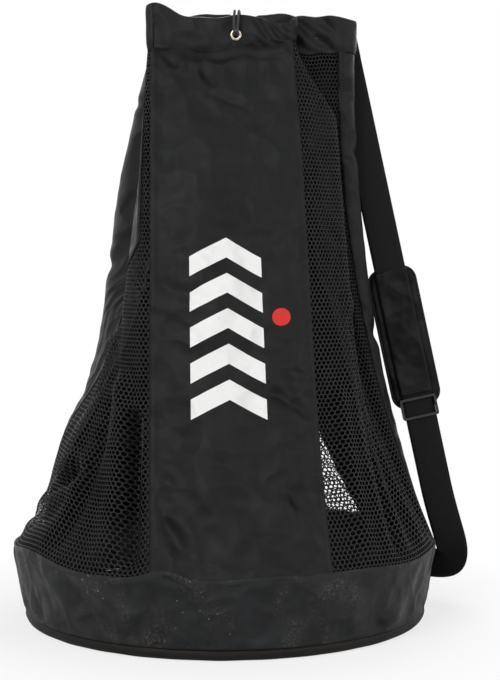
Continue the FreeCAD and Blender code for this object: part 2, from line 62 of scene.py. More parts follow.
def newMaterial(name, colour, roughness, **sockets):
    material = bpy.data.materials.new(name)
    material.use_nodes = True
    shader = material.node_tree.nodes["Principled BSDF"]
    shader.inputs["Base Color"].default_value = (*colour, 1)
    shader.inputs["Roughness"].default_value = roughness
    for socket, value in sockets.items():
        shader.inputs[socket.replace("_", " ")].default_value = value
    return material


def addNode(owner, kind, inputs=None, **settings):
    # the owner is a material or the world
    node = owner.node_tree.nodes.new(kind)
    for setting, value in settings.items():
        setattr(node, setting, value)
    for socket, value in (inputs or {}).items():
        if isinstance(value, bpy.types.NodeSocket):
            owner.node_tree.links.new(value, node.inputs[socket])
        else:
            node.inputs[socket].default_value = value
    return node


def shaderOf(material):
    return material.node_tree.nodes["Principled BSDF"]


def plug(material, output, socket):
    material.node_tree.links.new(output, shaderOf(material).inputs[socket])


def coordinates(material, kind):
    return addNode(material, "ShaderNodeTexCoord").outputs[kind]


def calc(owner, operation, first, second=0.0, third=0.0):
    return addNode(owner, "ShaderNodeMath", {0: first, 1: second, 2: third}, operation=operation).outputs[0]


def bands(material, vector, direction, period):
    wave = addNode(material, "ShaderNodeTexWave", {"Vector": vector, "Scale": 0.31416 / period},
                   bands_direction=direction)
    return wave.outputs["Fac"]


def cloudy(material, vector, size, detail=3.0, low=0.3, high=0.7):
    # soft patches of about this size, from 0 to 1
    texture = addNode(material, "ShaderNodeTexNoise", {"Vector": vector, "Scale": 1 / size, "Detail": detail})
    spread = addNode(material, "ShaderNodeMapRange", {"Value": texture.outputs["Fac"], "From Min": low,
                                                       "From Max": high})
    return spread.outputs["Result"]


def tint(material, factor, dark, light):
    mix = addNode(material, "ShaderNodeMix", data_type="RGBA")
    material.node_tree.links.new(factor, mix.inputs["Factor"])
    for socket, colour in ((mix.inputs[6], dark), (mix.inputs[7], light)):
        if isinstance(colour, bpy.types.NodeSocket):
            material.node_tree.links.new(colour, socket)
        else:
            socket.default_value = (*colour, 1)
    return mix.outputs[2]


def bumpUp(material, height, depth, strength=1.0, below=None):
    bump = addNode(material, "ShaderNodeBump", {"Height": height, "Distance": depth, "Strength": strength})
    if below is not None:
        material.node_tree.links.new(below, bump.inputs["Normal"])
    return bump.outputs["Normal"]


def crumpled(material, vector, size):
    # shallow facets with soft ridges between them, as in cloth that was folded small
    drift = addNode(material, "ShaderNodeTexNoise", {"Vector": vector, "Scale": 0.5 / size, "Detail": 2.0})
    bent = addNode(material, "ShaderNodeVectorMath", {0: drift.outputs["Color"], 1: (size, size * 1.6, size)},
                   operation="MULTIPLY")
    moved = addNode(material, "ShaderNodeVectorMath", {0: vector, 1: bent.outputs["Vector"]}, operation="ADD")
    facets = addNode(material, "ShaderNodeTexVoronoi", {"Vector": moved.outputs["Vector"], "Scale": 1 / size,
                                                        "Smoothness": 0.25}, feature="SMOOTH_F1")
    return facets.outputs["Distance"]


def addWeave(material, vector, period, depth, crumple):
    # plain weave at the thread's size, over soft crumples
    over = bands(material, vector, "X", period)
    under = bands(material, vector, "Y", period)
    weave = calc(material, "MULTIPLY", over, under)
    soft = bumpUp(material, cloudy(material, vector, 0.05, 2.0, 0.2, 0.8), crumple)
    folds = bumpUp(material, crumpled(material, vector, 0.042), crumple * 2.6, 0.9, soft)
    plug(material, bumpUp(material, weave, depth, 0.6, folds), "Normal")


def nylonMaterial(name, dark, light, roughness, period=0.0007, crumple=0.0045, kind="UV"):
    material = newMaterial(name, dark, roughness, Specular_IOR_Level=0.12, Sheen_Weight=0.01,
                           Sheen_Roughness=0.4)
    vector = coordinates(material, kind)
    plug(material, tint(material, cloudy(material, vector, 0.07, 4.0), dark, light), "Base Color")
    rough = addNode(material, "ShaderNodeMapRange", {"Value": cloudy(material, vector, 0.02, 5.0),
                                                     "To Min": roughness - 0.06, "To Max": roughness + 0.08})
    plug(material, rough.outputs["Result"], "Roughness")
    addWeave(material, vector, period, 0.0002, crumple)
    return material


emblem = {
    "middle": (0.108, 0.375),       # metres across the panel from its left edge, and up it
    "halfWidth": 0.052,
    "halfHeight": 0.125,
    "pitch": 0.052,
    "bar": 0.56,                    # share of each pitch that is printed
    "slope": 0.55,
    "shift": 10.0,                  # keeps the bars' count above zero
    "dot": (0.078, 0.0, 0.013),     # across and up from the middle, and its radius
    "white": (0.80, 0.80, 0.79),
    "red": (0.62, 0.035, 0.03),
}


def printChevrons(material):
    # a column of plain chevrons with one red dot beside it, worn a little
    vector = coordinates(material, "UV")
    split = addNode(material, "ShaderNodeSeparateXYZ", {"Vector": vector})
    across = calc(material, "SUBTRACT", split.outputs["X"], emblem["middle"][0])
    up = calc(material, "SUBTRACT", split.outputs["Y"], emblem["middle"][1])
    side = calc(material, "ABSOLUTE", across)
    slant = calc(material, "MULTIPLY_ADD", side, emblem["slope"], up)
    shifted = calc(material, "ADD", slant, emblem["shift"])
    step = calc(material, "FRACT", calc(material, "DIVIDE", shifted, emblem["pitch"]))
    bar = calc(material, "LESS_THAN", step, emblem["bar"])
    inSide = calc(material, "LESS_THAN", side, emblem["halfWidth"])
    inUp = calc(material, "LESS_THAN", calc(material, "ABSOLUTE", slant), emblem["halfHeight"])
    worn = calc(material, "GREATER_THAN", cloudy(material, vector, 0.0022, 6.0, 0.2, 0.8), 0.16)
    facing = addNode(material, "ShaderNodeSeparateXYZ", {"Vector": coordinates(material, "Normal")})
    outside = calc(material, "LESS_THAN", facing.outputs["Y"], 0.0)
    printed = calc(material, "MULTIPLY", calc(material, "MULTIPLY", bar, inSide),
                   calc(material, "MULTIPLY", inUp, worn))
    white = calc(material, "MULTIPLY", printed, outside)
    dotX = calc(material, "SUBTRACT", across, emblem["dot"][0])
    dotY = calc(material, "SUBTRACT", up, emblem["dot"][1])
    reach = calc(material, "ADD", calc(material, "MULTIPLY", dotX, dotX),
                 calc(material, "MULTIPLY", dotY, dotY))
    red = calc(material, "MULTIPLY", calc(material, "LESS_THAN", reach, emblem["dot"][2] ** 2), outside)
    under = shaderOf(material).inputs["Base Color"].links[0].from_socket
    plug(material, tint(material, red, tint(material, white, under, emblem["white"]), emblem["red"]),
         "Base Color")


def baseMaterial():
    material = newMaterial("baseNylon", (0.012, 0.0125, 0.0135), 0.46, Specular_IOR_Level=0.16,
                           Sheen_Weight=0.02, Sheen_Roughness=0.45)
    vector = coordinates(material, "UV")
    body = tint(material, cloudy(material, vector, 0.06, 5.0), (0.0085, 0.009, 0.0098),
                (0.018, 0.0188, 0.020))
    dust = calc(material, "MULTIPLY", cloudy(material, vector, 0.05, 8.0, 0.5, 0.75),
                cloudy(material, vector, 0.004, 6.0, 0.45, 0.7))
    dusty = tint(material, calc(material, "MULTIPLY", dust, 0.75), body, (0.125, 0.116, 0.104))
    specks = addNode(material, "ShaderNodeTexVoronoi", {"Vector": vector, "Scale": 110.0})
    speck = calc(material, "MULTIPLY", calc(material, "LESS_THAN", specks.outputs["Distance"], 0.09),
                 cloudy(material, vector, 0.12, 2.0, 0.52, 0.6))
    plug(material, tint(material, speck, dusty, (0.30, 0.29, 0.27)), "Base Color")
    addWeave(material, vector, 0.0009, 0.0003, 0.0055)
    return material


def netMaterial():
    material = newMaterial("netYarn", (0.012, 0.0125, 0.013), 0.42, Specular_IOR_Level=0.2, Sheen_Weight=0.02,
                           Sheen_Roughness=0.35)
    vector = coordinates(material, "UV")
    yarnColour = tint(material, cloudy(material, vector, 0.05), (0.0065, 0.0069, 0.0073),
                      (0.0135, 0.014, 0.0145))
    plug(material, yarnColour, "Base Color")
    yarn = bands(material, vector, "DIAGONAL", 0.0006)
    plug(material, bumpUp(material, yarn, 0.0001, 0.5), "Normal")
    return material


def webbingMaterial(name, colour, period=0.0016):
    material = newMaterial(name, colour, 0.55, Specular_IOR_Level=0.12, Sheen_Weight=0.01,
                           Sheen_Roughness=0.4)
    vector = coordinates(material, "UV")
    light = tuple(1.5 * part for part in colour)
    plug(material, tint(material, cloudy(material, vector, 0.01, 5.0), colour, light), "Base Color")
    ribs = bands(material, vector, "Y", period)
    threads = bands(material, vector, "X", period * 1.6)
    plug(material, bumpUp(material, calc(material, "MULTIPLY", ribs, threads), 0.0005, 0.8), "Normal")
    return material


def solidMaterial(name, colour, roughness, grain, depth, **sockets):
    # moulded, woven or metal finish on the piece's own space
    material = newMaterial(name, colour, roughness, **sockets)
    vector = coordinates(material, "Object")
    light = tuple(min(1.0, 1.4 * part) for part in colour)
    plug(material, tint(material, cloudy(material, vector, grain * 6, 4.0), colour, light), "Base Color")
    plug(material, bumpUp(material, cloudy(material, vector, grain, 4.0), depth, 0.5), "Normal")
    return material


def eyeletMaterial():
    material = newMaterial("eyeletNickel", (0.60, 0.57, 0.52), 0.24, Metallic=1.0)
    vector = coordinates(material, "Object")
    worn = cloudy(material, vector, 0.004, 6.0, 0.45, 0.62)
    plug(material, tint(material, worn, (0.62, 0.60, 0.56), (0.45, 0.30, 0.16)), "Base Color")
    plug(material, bumpUp(material, cloudy(material, vector, 0.0012, 5.0), 0.0001, 0.5), "Normal")
    return material


def cordMaterial():
    material = newMaterial("cordBraid", (0.012, 0.012, 0.013), 0.5, Specular_IOR_Level=0.25,
                           Sheen_Weight=0.04)
    vector = coordinates(material, "Object")
    tilted = addNode(material, "ShaderNodeMapping", {"Vector": vector, "Rotation": (0, math.radians(38), 0)})
    other = addNode(material, "ShaderNodeMapping", {"Vector": vector, "Rotation": (0, -math.radians(38), 0)})
    braid = calc(material, "MAXIMUM", bands(material, tilted.outputs["Vector"], "Z", 0.0016),
                 bands(material, other.outputs["Vector"], "Z", 0.0016))
    # the braid's grooves are painted darker and its raised strands lighter: painted shade and painted
    # highlight on a black cord
    plug(material, tint(material, braid, (0.012, 0.012, 0.013), (0.045, 0.045, 0.047)), "Base Color")
    plug(material, bumpUp(material, braid, 0.0004, 0.8), "Normal")
    return material


def makeMaterials():
    front = nylonMaterial("frontNylon", (0.0060, 0.0063, 0.0064), (0.0105, 0.0109, 0.0112), 0.36)
    printChevrons(front)
    return {
        "front": front,
        "wall": nylonMaterial("wallNylon", (0.0055, 0.0058, 0.0059), (0.0098, 0.0101, 0.0104), 0.36),
        "collar": nylonMaterial("collarNylon", (0.0080, 0.0084, 0.0086), (0.0130, 0.0134, 0.0138), 0.38,
                                crumple=0.0040),
        "base": baseMaterial(),
        "net": netMaterial(),
        "tape": webbingMaterial("seamTapeWeave", (0.007, 0.007, 0.0075), 0.0012),
        "edge": solidMaterial("edgeBinding", (0.0075, 0.0060, 0.0050), 0.55, 0.0025, 0.0006,
                              Specular_IOR_Level=0.16, Sheen_Weight=0.02),
        "eyelet": eyeletMaterial(),
        "cord": cordMaterial(),
        "webbing": webbingMaterial("strapWebbing", (0.0045, 0.0044, 0.0043)),
        "tab": solidMaterial("tabWebbing", (0.0062, 0.0060, 0.0060), 0.55, 0.0016, 0.0004,
                             Specular_IOR_Level=0.16, Sheen_Weight=0.02),
        "buckle": solidMaterial("bucklePlastic", (0.010, 0.010, 0.011), 0.24, 0.0008, 0.00003,
                                Specular_IOR_Level=0.5),
        "pad": nylonMaterial("padCloth", (0.0042, 0.0044, 0.0045), (0.0075, 0.0077, 0.0078), 0.44,
                             kind="Object"),
        "thread": solidMaterial("sewingThread", (0.018, 0.018, 0.019), 0.45, 0.0006, 0.0001,
                                Specular_IOR_Level=0.3),
    }


# ---- the bag's mouth and its closed wall

def smooth(value):
    value = np.clip(value, 0.0, 1.0)
    return value * value * (3 - 2 * value)


mouth = {
    "start": (-0.109, -0.038),
    # each straight run, then the half turn after it: radius, and its side, + to the left
    "runs": [(0.209, 0.008, 1), (0.044, 0.008, -1), (0.124, 0.022, 1), (0.200, 0.008, -1),
             (0.080, 0.008, 1), (0.139, 0.038, 1), (0.079, 0.008, -1), (0.109, 0.008, 1)],
    "turnSteps": 24,
    "pleatSlide": 0.054,
    "pleatSlideHeight": 0.16,
}


def walkMouth():
    # distance, x, y and heading along the closed path, and the distances where runs and turns end
    x, y = mouth["start"]
    heading = 0.0
    along = 0.0
    rows = [(along, x, y, heading)]
    ends = [0.0]
    for run, radius, side in mouth["runs"]:
        x += run * math.cos(heading)
        y += run * math.sin(heading)
        along += run
        rows.append((along, x, y, heading))
        ends.append(along)
        turn = side * math.pi / mouth["turnSteps"]
        chord = 2 * radius * math.sin(abs(turn) / 2)
        for step in range(mouth["turnSteps"]):
            x += chord * math.cos(heading + turn / 2)
            y += chord * math.sin(heading + turn / 2)
            heading += turn
            along += radius * abs(turn)
            rows.append((along, x, y, heading))
        ends.append(along)
    return np.array(rows), ends


mouthRows, corner = walkMouth()
mouthLength = corner[-1]


def mouthAt(along):
    along = np.mod(along, mouthLength)
    return [np.interp(along, mouthRows[:, 0], mouthRows[:, column]) for column in (1, 2, 3)]


def wallMouthAt(along, t):
    # below the collar the right pleat slides along the mouth's path
    along = np.mod(along, mouthLength)
    slide = mouth["pleatSlide"] * smooth((1 - t) / mouth["pleatSlideHeight"])
    stretched = np.clip(along - corner[1], 0, slide)
    inPleat = along <= corner[4] + slide
    x, y, heading = mouthAt(np.where(inPleat, along - stretched, along))
    return x + np.where(inPleat, stretched, 0.0), y


wallShape = {
    "radius": 0.328,
    "low": 0.1124,
    "high": 0.8766,
    "bulge": 0.08,
    "bulgeHeight": 0.22,
    "bulgeSpread": 0.1,
    "trailDegrees": 20.0,
    "trailHeight": 0.24,
    "trailSeam": 265.0,
    "hip": 0.045,                   # fuller upper left side, its height share and its spread
    "hipHeight": 0.72,
    "hipSpread": 0.13,
    "foldedAway": 0.9,              # share of the left net that is folded in behind, high up
    "foldFrom": 0.46,
    "foldOver": 0.16,
    "creaseDepth": 1.5,
    "creaseDip": 0.35,
}

# where each wall stands: degrees round the tub, then lengths along the mouth
walls = {
    "front_panel": (-17.5, 26.5, 0.0, corner[1]),
    "front_right_net": (26.5, 90.0, corner[1], corner[5]),
    "right_panel": (90.0, 132.0, corner[5], corner[7] - 0.020),
    "rear_net": (132.0, 204.0, corner[7] - 0.020, corner[10] + 0.060),
    "left_panel": (204.0, 265.0, corner[10] + 0.060, corner[12] + 0.049),
    "front_left_net": (265.0, 342.5, corner[12] + 0.049, mouthLength),
}


def closing(t, angle):
    # share of the way from the tub's circle to the mouth at this height
    side = np.sin(angle)
    ends = np.cos(2 * angle)
    left = np.maximum(0.0, -side) ** 2
    low = 0.64 - 0.025 * side - 0.135 * ends - 0.19 * left
    high = 0.555 + 0.24 * side - 0.205 * ends + 0.11 * left
    bulge = wallShape["bulge"] * left * hump(t, wallShape["bulgeHeight"], wallShape["bulgeSpread"])
    bulge = bulge + wallShape["hip"] * left * hump(t, wallShape["hipHeight"], wallShape["hipSpread"])
    return 3 * (1 - t) ** 2 * t * low + 3 * (1 - t) * t ** 2 * high + t ** 3 - bulge


def seamDegrees(degrees, t):
    if degrees != wallShape["trailSeam"]:
        return degrees + 0 * t
    near = np.maximum(0.0, 1 - t / wallShape["trailHeight"])
    return degrees - wallShape["trailDegrees"] * near ** 2


def hump(value, centre, width):
    return np.exp(-((value - centre) / width) ** 2)


def tubSeamLift(degrees):
    # how the seam between tub and walls rises and dips round the bag
    degrees = np.mod(degrees + 180, 360) - 180
    lift = 0.015 * hump(degrees, -15, 6) + 0.010 * hump(degrees, -62, 17) + 0.006 * hump(degrees, 30, 20)
    return lift + 0.0018 * np.sin(np.radians(5 * degrees + 40)) + 0.0012 * np.sin(np.radians(11 * degrees))


def collarSeamLift(along):
    # the gathers pull the collar's seam up beside the front fold
    along = np.mod(along, mouthLength)
    lift = 0.014 * hump(along, corner[1], 0.035) + 0.006 * hump(along, 0.15, 0.03)
    lift = lift - 0.004 * hump(along, 0.085, 0.03)
    return lift + 0.0015 * np.sin(along * 61) + 0.001 * np.sin(along * 143 + 1)


def rimLift(along):
    # the rim stands up at the left corner and sags where the cord gathers it
    along = np.mod(along, mouthLength)
    fromStart = np.minimum(along, mouthLength - along)
    lift = 0.015 * hump(fromStart, 0, 0.035) - 0.006 * hump(along, 0.10, 0.06)
    lift = lift - 0.013 * hump(along, 0.192, 0.022)
    return lift + 0.0022 * np.sin(along * 47 + 2) + 0.0012 * np.sin(along * 109)


def ripples(u, v, seed, size, stretch=1.0):
    # a soft random surface made of a few waves
    rng = np.random.default_rng(seed)
    total = 0.0
    for wave in range(7):
        turn = rng.uniform(0, math.pi)
        rate = rng.uniform(0.6, 1.5) * 2 * math.pi / size
        phase = rng.uniform(0, 6.28)
        total = total + np.sin(rate * (math.cos(turn) * u + math.sin(turn) * v / stretch) + phase)
    return total / 7


# creases of each wall: from and to in shares across and up it, depth and width in metres
creases = {
    "front_panel": [
        ((0.42, 0.985), (1.0, 0.972), -0.0020, 0.006),
        ((0.36, 0.955), (0.42, 0.925), -0.0028, 0.007),
        ((0.40, 0.905), (0.66, 0.875), -0.0022, 0.006),
        ((0.05, 0.99), (0.16, 0.965), -0.0022, 0.006),
        ((0.0, 0.53), (0.33, 0.505), -0.0026, 0.010),
        ((0.03, 0.10), (0.33, 0.01), -0.0030, 0.010),
        ((0.10, 0.16), (0.25, 0.02), 0.0026, 0.012),
        ((0.80, 0.15), (1.0, 0.03), -0.0030, 0.010),
        ((0.88, 0.37), (1.0, 0.345), -0.0022, 0.006),
        ((0.76, 0.325), (1.0, 0.275), -0.0026, 0.007),
        ((0.30, 0.80), (0.36, 0.10), 0.0030, 0.030),
        ((0.72, 0.90), (0.62, 0.15), -0.0025, 0.030),
    ],
    "left_panel": [
        ((0.2, 0.90), (1.0, 0.885), -0.0014, 0.007),
        ((0.0, 0.60), (0.9, 0.52), -0.0026, 0.010),
        ((0.3, 0.40), (1.0, 0.25), -0.0030, 0.012),
    ],
    "right_panel": [
        ((0.1, 0.80), (0.9, 0.70), -0.0025, 0.010),
        ((0.0, 0.45), (0.8, 0.30), -0.0028, 0.012),
    ],
    "front_right_net": [
        ((0.30, 0.45), (0.42, 0.0), -0.0060, 0.016),
        ((0.16, 0.30), (0.20, 0.0), 0.0050, 0.020),
        ((0.62, 0.50), (0.66, 0.0), 0.0060, 0.022),
        ((0.82, 0.55), (0.86, 0.0), -0.0050, 0.018),
    ],
    "rear_net": [
        ((0.2, 0.5), (0.16, 0.0), -0.0060, 0.018),
        ((0.4, 0.55), (0.42, 0.0), 0.0060, 0.022),
        ((0.62, 0.5), (0.66, 0.0), -0.0060, 0.018),
        ((0.82, 0.45), (0.86, 0.0), 0.0050, 0.020),
    ],
    "front_left_net": [
        ((0.91, 0.28), (0.93, 0.0), -0.0110, 0.010),
        ((0.80, 0.34), (0.84, 0.02), 0.0070, 0.016),
        ((0.56, 0.17), (0.16, 0.04), -0.0100, 0.011),
        ((0.60, 0.42), (0.42, 0.10), 0.0070, 0.016),
        ((0.70, 0.30), (0.64, 0.02), -0.0060, 0.012),
    ],
}

wallFlat = {
    "front_panel": (0.232, 0.80),
    "front_right_net": (0.430, 0.80),
    "right_panel": (0.215, 0.80),
    "rear_net": (0.440, 0.80),
    "left_panel": (0.310, 0.80),
    "front_left_net": (0.330, 0.80),
}


def crease(u, v, start, end, width, dip):
    # a fold along the line from start to end: its ridge, and the dip on either side of it
    ax, ay = start
    bx, by = end[0] - ax, end[1] - ay
    share = np.clip(((u - ax) * bx + (v - ay) * by) / (bx * bx + by * by), 0, 1)
    away = np.hypot(u - ax - share * bx, v - ay - share * by)
    return hump(away, 0, width) - dip * hump(away, 2 * width, width)


def wallLift(name, p, t):
    wide, tall = wallFlat[name]
    u = p * wide
    v = t * tall
    total = 0.0
    for start, end, depth, width in creases[name]:
        ends = [(point[0] * wide, point[1] * tall) for point in (start, end)]
        ridge = crease(u, v, *ends, width, wallShape["creaseDip"])
        total = total + wallShape["creaseDepth"] * depth * ridge
    soft = name.endswith("net")
    seed = sum(ord(letter) for letter in name)
    reach = 0.0030 if soft else 0.0024
    total = total + reach * (1 - 0.6 * t) * ripples(u, v, seed, 0.10, 3.0)
    total = total + (0.0008 if soft else 0.0010) * ripples(u, v, seed + 1, 0.03, 1.5)
    fade = smooth(np.minimum(p, 1 - p) / 0.08) * smooth(t / 0.05) * smooth((1 - t) / 0.03)
    return total * fade


def between(name, p, t):
    # degrees round the tub and length along the mouth, from seam to seam
    startDegrees, endDegrees, fromAlong, toAlong = walls[name]
    degrees = seamDegrees(startDegrees, t) * (1 - p) + seamDegrees(endDegrees, t) * p
    return degrees, fromAlong + p * (toAlong - fromAlong)


def acrossWall(name, p, t):
    # high up, the left net is folded in behind and the left panel reaches round beside the front one
    fold = wallShape["foldedAway"] * smooth((t - wallShape["foldFrom"]) / wallShape["foldOver"])
    if name == "front_left_net":
        return between(name, fold + p * (1 - fold), t)
    if name != "left_panel":
        return between(name, p, t)
    reach = p * (1 + fold)
    degrees, along = between(name, np.minimum(reach, 1.0), t)
    degreesPast, alongPast = between("front_left_net", reach - 1, t)
    return np.where(reach > 1, degreesPast, degrees), np.where(reach > 1, alongPast, along)


def wallBase(name, p, t):
    held = np.clip(t, 0.0, 1.0)
    degrees, along = acrossWall(name, p, held)
    angle = np.radians(degrees)
    mouthX, mouthY = wallMouthAt(along, held)
    share = closing(held, angle)
    x = (1 - share) * wallShape["radius"] * np.sin(angle) + share * mouthX
    y = -(1 - share) * wallShape["radius"] * np.cos(angle) + share * mouthY
    z = wallShape["low"] + t * (wallShape["high"] - wallShape["low"])
    z = z + tubSeamLift(degrees) * (1 - held) ** 6 + collarSeamLift(along) * held ** 10
    return np.stack([x, y, z], axis=-1)


def wallPlace(name, p, t, out=0.0):
    # a point of the wall's cloth and its outward direction
    step = 0.002
    across = wallBase(name, p + step, t) - wallBase(name, p - step, t)
    above = np.minimum(t + step, 1.0)
    below = np.maximum(np.minimum(t, 1.0) - step, 0.0)
    up = wallBase(name, p, above) - wallBase(name, p, below)
    normal = np.cross(across, up)
    normal = normal / np.linalg.norm(normal, axis=-1, keepdims=True)
    lift = wallLift(name, np.clip(p, 0, 1), np.clip(t, 0, 1)) + out
    return wallBase(name, p, t) + normal * lift[..., None], normal


# ---- making pieces

def finishPiece(name, data, material, body, smoothFaces=True):
    data.materials.append(material)
    data.polygons.foreach_set("use_smooth", [smoothFaces] * len(data.polygons))
    piece = bpy.data.objects.new(name, data)
    bpy.context.scene.collection.objects.link(piece)
    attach(piece, body)
    return piece


def meshData(mesh, name):
    # the shaped bmesh as mesh data under this name
    data = bpy.data.meshes.new(name)
    mesh.to_mesh(data)
    mesh.free()
    return data


def readPlaces(data):
    places = np.empty(len(data.vertices) * 3)
    data.vertices.foreach_get("co", places)
    return places.reshape(-1, 3)


def writePlaces(data, places):
    data.vertices.foreach_set("co", np.ascontiguousarray(places).ravel())
    data.update()


def flatUv(data, scale):
    # the piece's own flat pattern, in metres, kept before it is bent into place
    layer = data.uv_layers.new(name="cloth")
    places = readPlaces(data)
    corners = np.empty(len(data.loops), dtype=np.int32)
    data.loops.foreach_get("vertex_index", corners)
    layer.data.foreach_set("uv", (places[corners][:, :2] * np.array(scale)).ravel())


def gridMesh(name, columns, rows, flat, placing, close=False):
    # a square grid whose x and y, from 0 to 1, are bent into place by the given formula
    mesh = bmesh.new()
    bmesh.ops.create_grid(mesh, x_segments=columns, y_segments=rows, size=0.5)
    bmesh.ops.translate(mesh, verts=mesh.verts, vec=(0.5, 0.5, 0))
    data = meshData(mesh, name)
    flatUv(data, flat)
    shares = readPlaces(data)
    writePlaces(data, placing(shares[:, 0], shares[:, 1]))
    if close:
        mesh = bmesh.new()
        mesh.from_mesh(data)
        bmesh.ops.remove_doubles(mesh, verts=mesh.verts, dist=0.00005)
        mesh.to_mesh(data)
        mesh.free()
    return data


def thicken(piece, thickness, offset=0.0):
    modifier = piece.modifiers.new("thickness", "SOLIDIFY")
    modifier.thickness = thickness
    modifier.offset = offset
    return piece


def tubeCurve(name, points, radius, kind, closed=False):
    # round tube through the points, with capped ends unless it closes on itself
    curve = bpy.data.curves.new(name, "CURVE")
    curve.dimensions = "3D"
    curve.bevel_depth = radius
    curve.bevel_resolution = 3
    curve.use_fill_caps = not closed
    spline = curve.splines.new(kind)
    spline.points.add(len(points) - 1)
    for point, place in zip(spline.points, points):
        point.co = (*place, 1)
    spline.use_cyclic_u = closed
    return curve


def curveMesh(name, points, radius, closed=False):
    curve = tubeCurve(name, points, radius, "POLY", closed)
    holder = bpy.data.objects.new(name, curve)
    data = bpy.data.meshes.new_from_object(holder)
    bpy.data.objects.remove(holder)
    bpy.data.curves.remove(curve)
    return data


# ---- cords

cordFacts = {
    "diameter": 0.004,
    "hole": (0.017, -0.0413, 0.897),
    "strandSpacing": 0.0042,
    "lengths": {"right": 0.285, "left": 0.2855},
    "routes": {
        "right": [(0, -0.0413, 0.897), (0, -0.0510, 0.897), (0.0006, -0.0512, 0.912),
                  (0.0018, -0.0504, 0.9255),
                  (0.0026, -0.0445, 0.9335), (0.0034, -0.0320, 0.9345), (0.0042, -0.0260, 0.922),
                  (0.0048, -0.0275, 0.893), (0.0030, -0.0240, 0.847), (0.0044, -0.0280, 0.798),
                  (0.0026, -0.0260, 0.752), (0.0026, -0.0260, 0.718)],
        "left": [(0, -0.0413, 0.897), (0, -0.0510, 0.897), (-0.0008, -0.0511, 0.913),
                 (-0.0006, -0.0502, 0.9260),
                 (0.0004, -0.0435, 0.9335), (0.0002, -0.0315, 0.9350), (-0.0012, -0.0255, 0.921),
                 (-0.0026, -0.0280, 0.891), (-0.0014, -0.0245, 0.845), (-0.0036, -0.0270, 0.799),
                 (-0.0004, -0.0260, 0.754), (-0.0004, -0.0260, 0.718)],
    },
}


def layTail(side, material):
    shift = cordFacts["strandSpacing"] / 2 * (1 if side == "right" else -1)
    points = [(cordFacts["hole"][0] + shift + x, y, z) for x, y, z in cordFacts["routes"][side]]
    curve = tubeCurve("drawcord_tail_" + side, points, cordFacts["diameter"] / 2, "NURBS")
    spline = curve.splines[0]
    spline.order_u = 3
    spline.use_endpoint_u = True
    spline.resolution_u = 10
    curve.materials.append(material)
    tail = bpy.data.objects.new("tail_" + side, curve)
    bpy.context.scene.collection.objects.link(tail)
    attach(tail, "bag")
    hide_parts("drawcord_tail_" + side)
    return tail, points[0]


knotShape = {"middle": (0.0181, -0.026, 0.7105), "loopRadius": 0.0042, "tube": 0.0026}


def tieKnot(material):
    # an overhand lump: a tube wound twice round
    points = []
    centre = Vector(knotShape["middle"])
    for step in range(73):
        turn = step / 72 * 6 * math.pi
        radius = knotShape["loopRadius"] * (0.75 + 0.25 * math.cos(turn / 1.5))
        lift = 0.0032 * math.sin(turn / 1.5)
        points.append(centre + Vector((radius * math.cos(turn), radius * math.sin(turn), lift)))
    piece = finishPiece("tied_knot", curveMesh("tied_knot", points, knotShape["tube"]), material, "bag")
    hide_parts("cord_knot")
    return piece


def makeCords(materials):
    knot = tieKnot(materials["cord"])
    for side in ("right", "left"):
        tail, start = layTail(side, materials["cord"])
    print("cords laid")


# ---- walls

panelGrid = {"front_panel": (96, 270), "right_panel": (60, 170), "left_panel": (72, 210)}
hem = {"cloth": 0.0012, "over": 0.004, "lift": 0.0014, "reach": 0.007, "intoTub": 0.006, "intoCollar": 0.009}
tape = {"width": 0.018, "length": 0.8, "thickness": 0.001, "inside": 0.0021}


def panelPlaces(name):
    wide = wallFlat[name][0]
    height = wallShape["high"] - wallShape["low"]

    def placing(p, t):
        p = -hem["over"] / wide + p * (1 + 2 * hem["over"] / wide)
        t = -hem["intoTub"] / height + t * (1 + (hem["intoTub"] + hem["intoCollar"]) / height)
        edge = np.minimum(p, 1 - p) * wide + hem["over"]
        out = hem["lift"] * (1 - smooth((edge - 0.8 * hem["reach"]) / (0.9 * hem["reach"])))
        return wallPlace(name, p, t, out)[0]

    return placing


def makePanels(materials):
    for name, (columns, rows) in panelGrid.items():
        material = materials["front" if name == "front_panel" else "wall"]
        flat = wallFlat[name]
        data = gridMesh(name, columns, rows, flat, panelPlaces(name))
        piece = finishPiece(name.replace("panel", "nylon_panel"), data, material, "bag")
        thicken(piece, hem["cloth"])
        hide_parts(name)
        print("panel", name)


net = {
    "pitch": 0.0072, "strand": 0.0026, "thickness": 0.0011,
    "under": 0.005, "tuck": 0.0012,
    # how far the holes are drawn in across, at these height shares
    "drawnHeights": [0.0, 0.25, 0.5, 0.8, 1.0],
    "drawn": [1.12, 0.92, 0.78, 0.74, 0.74],
}


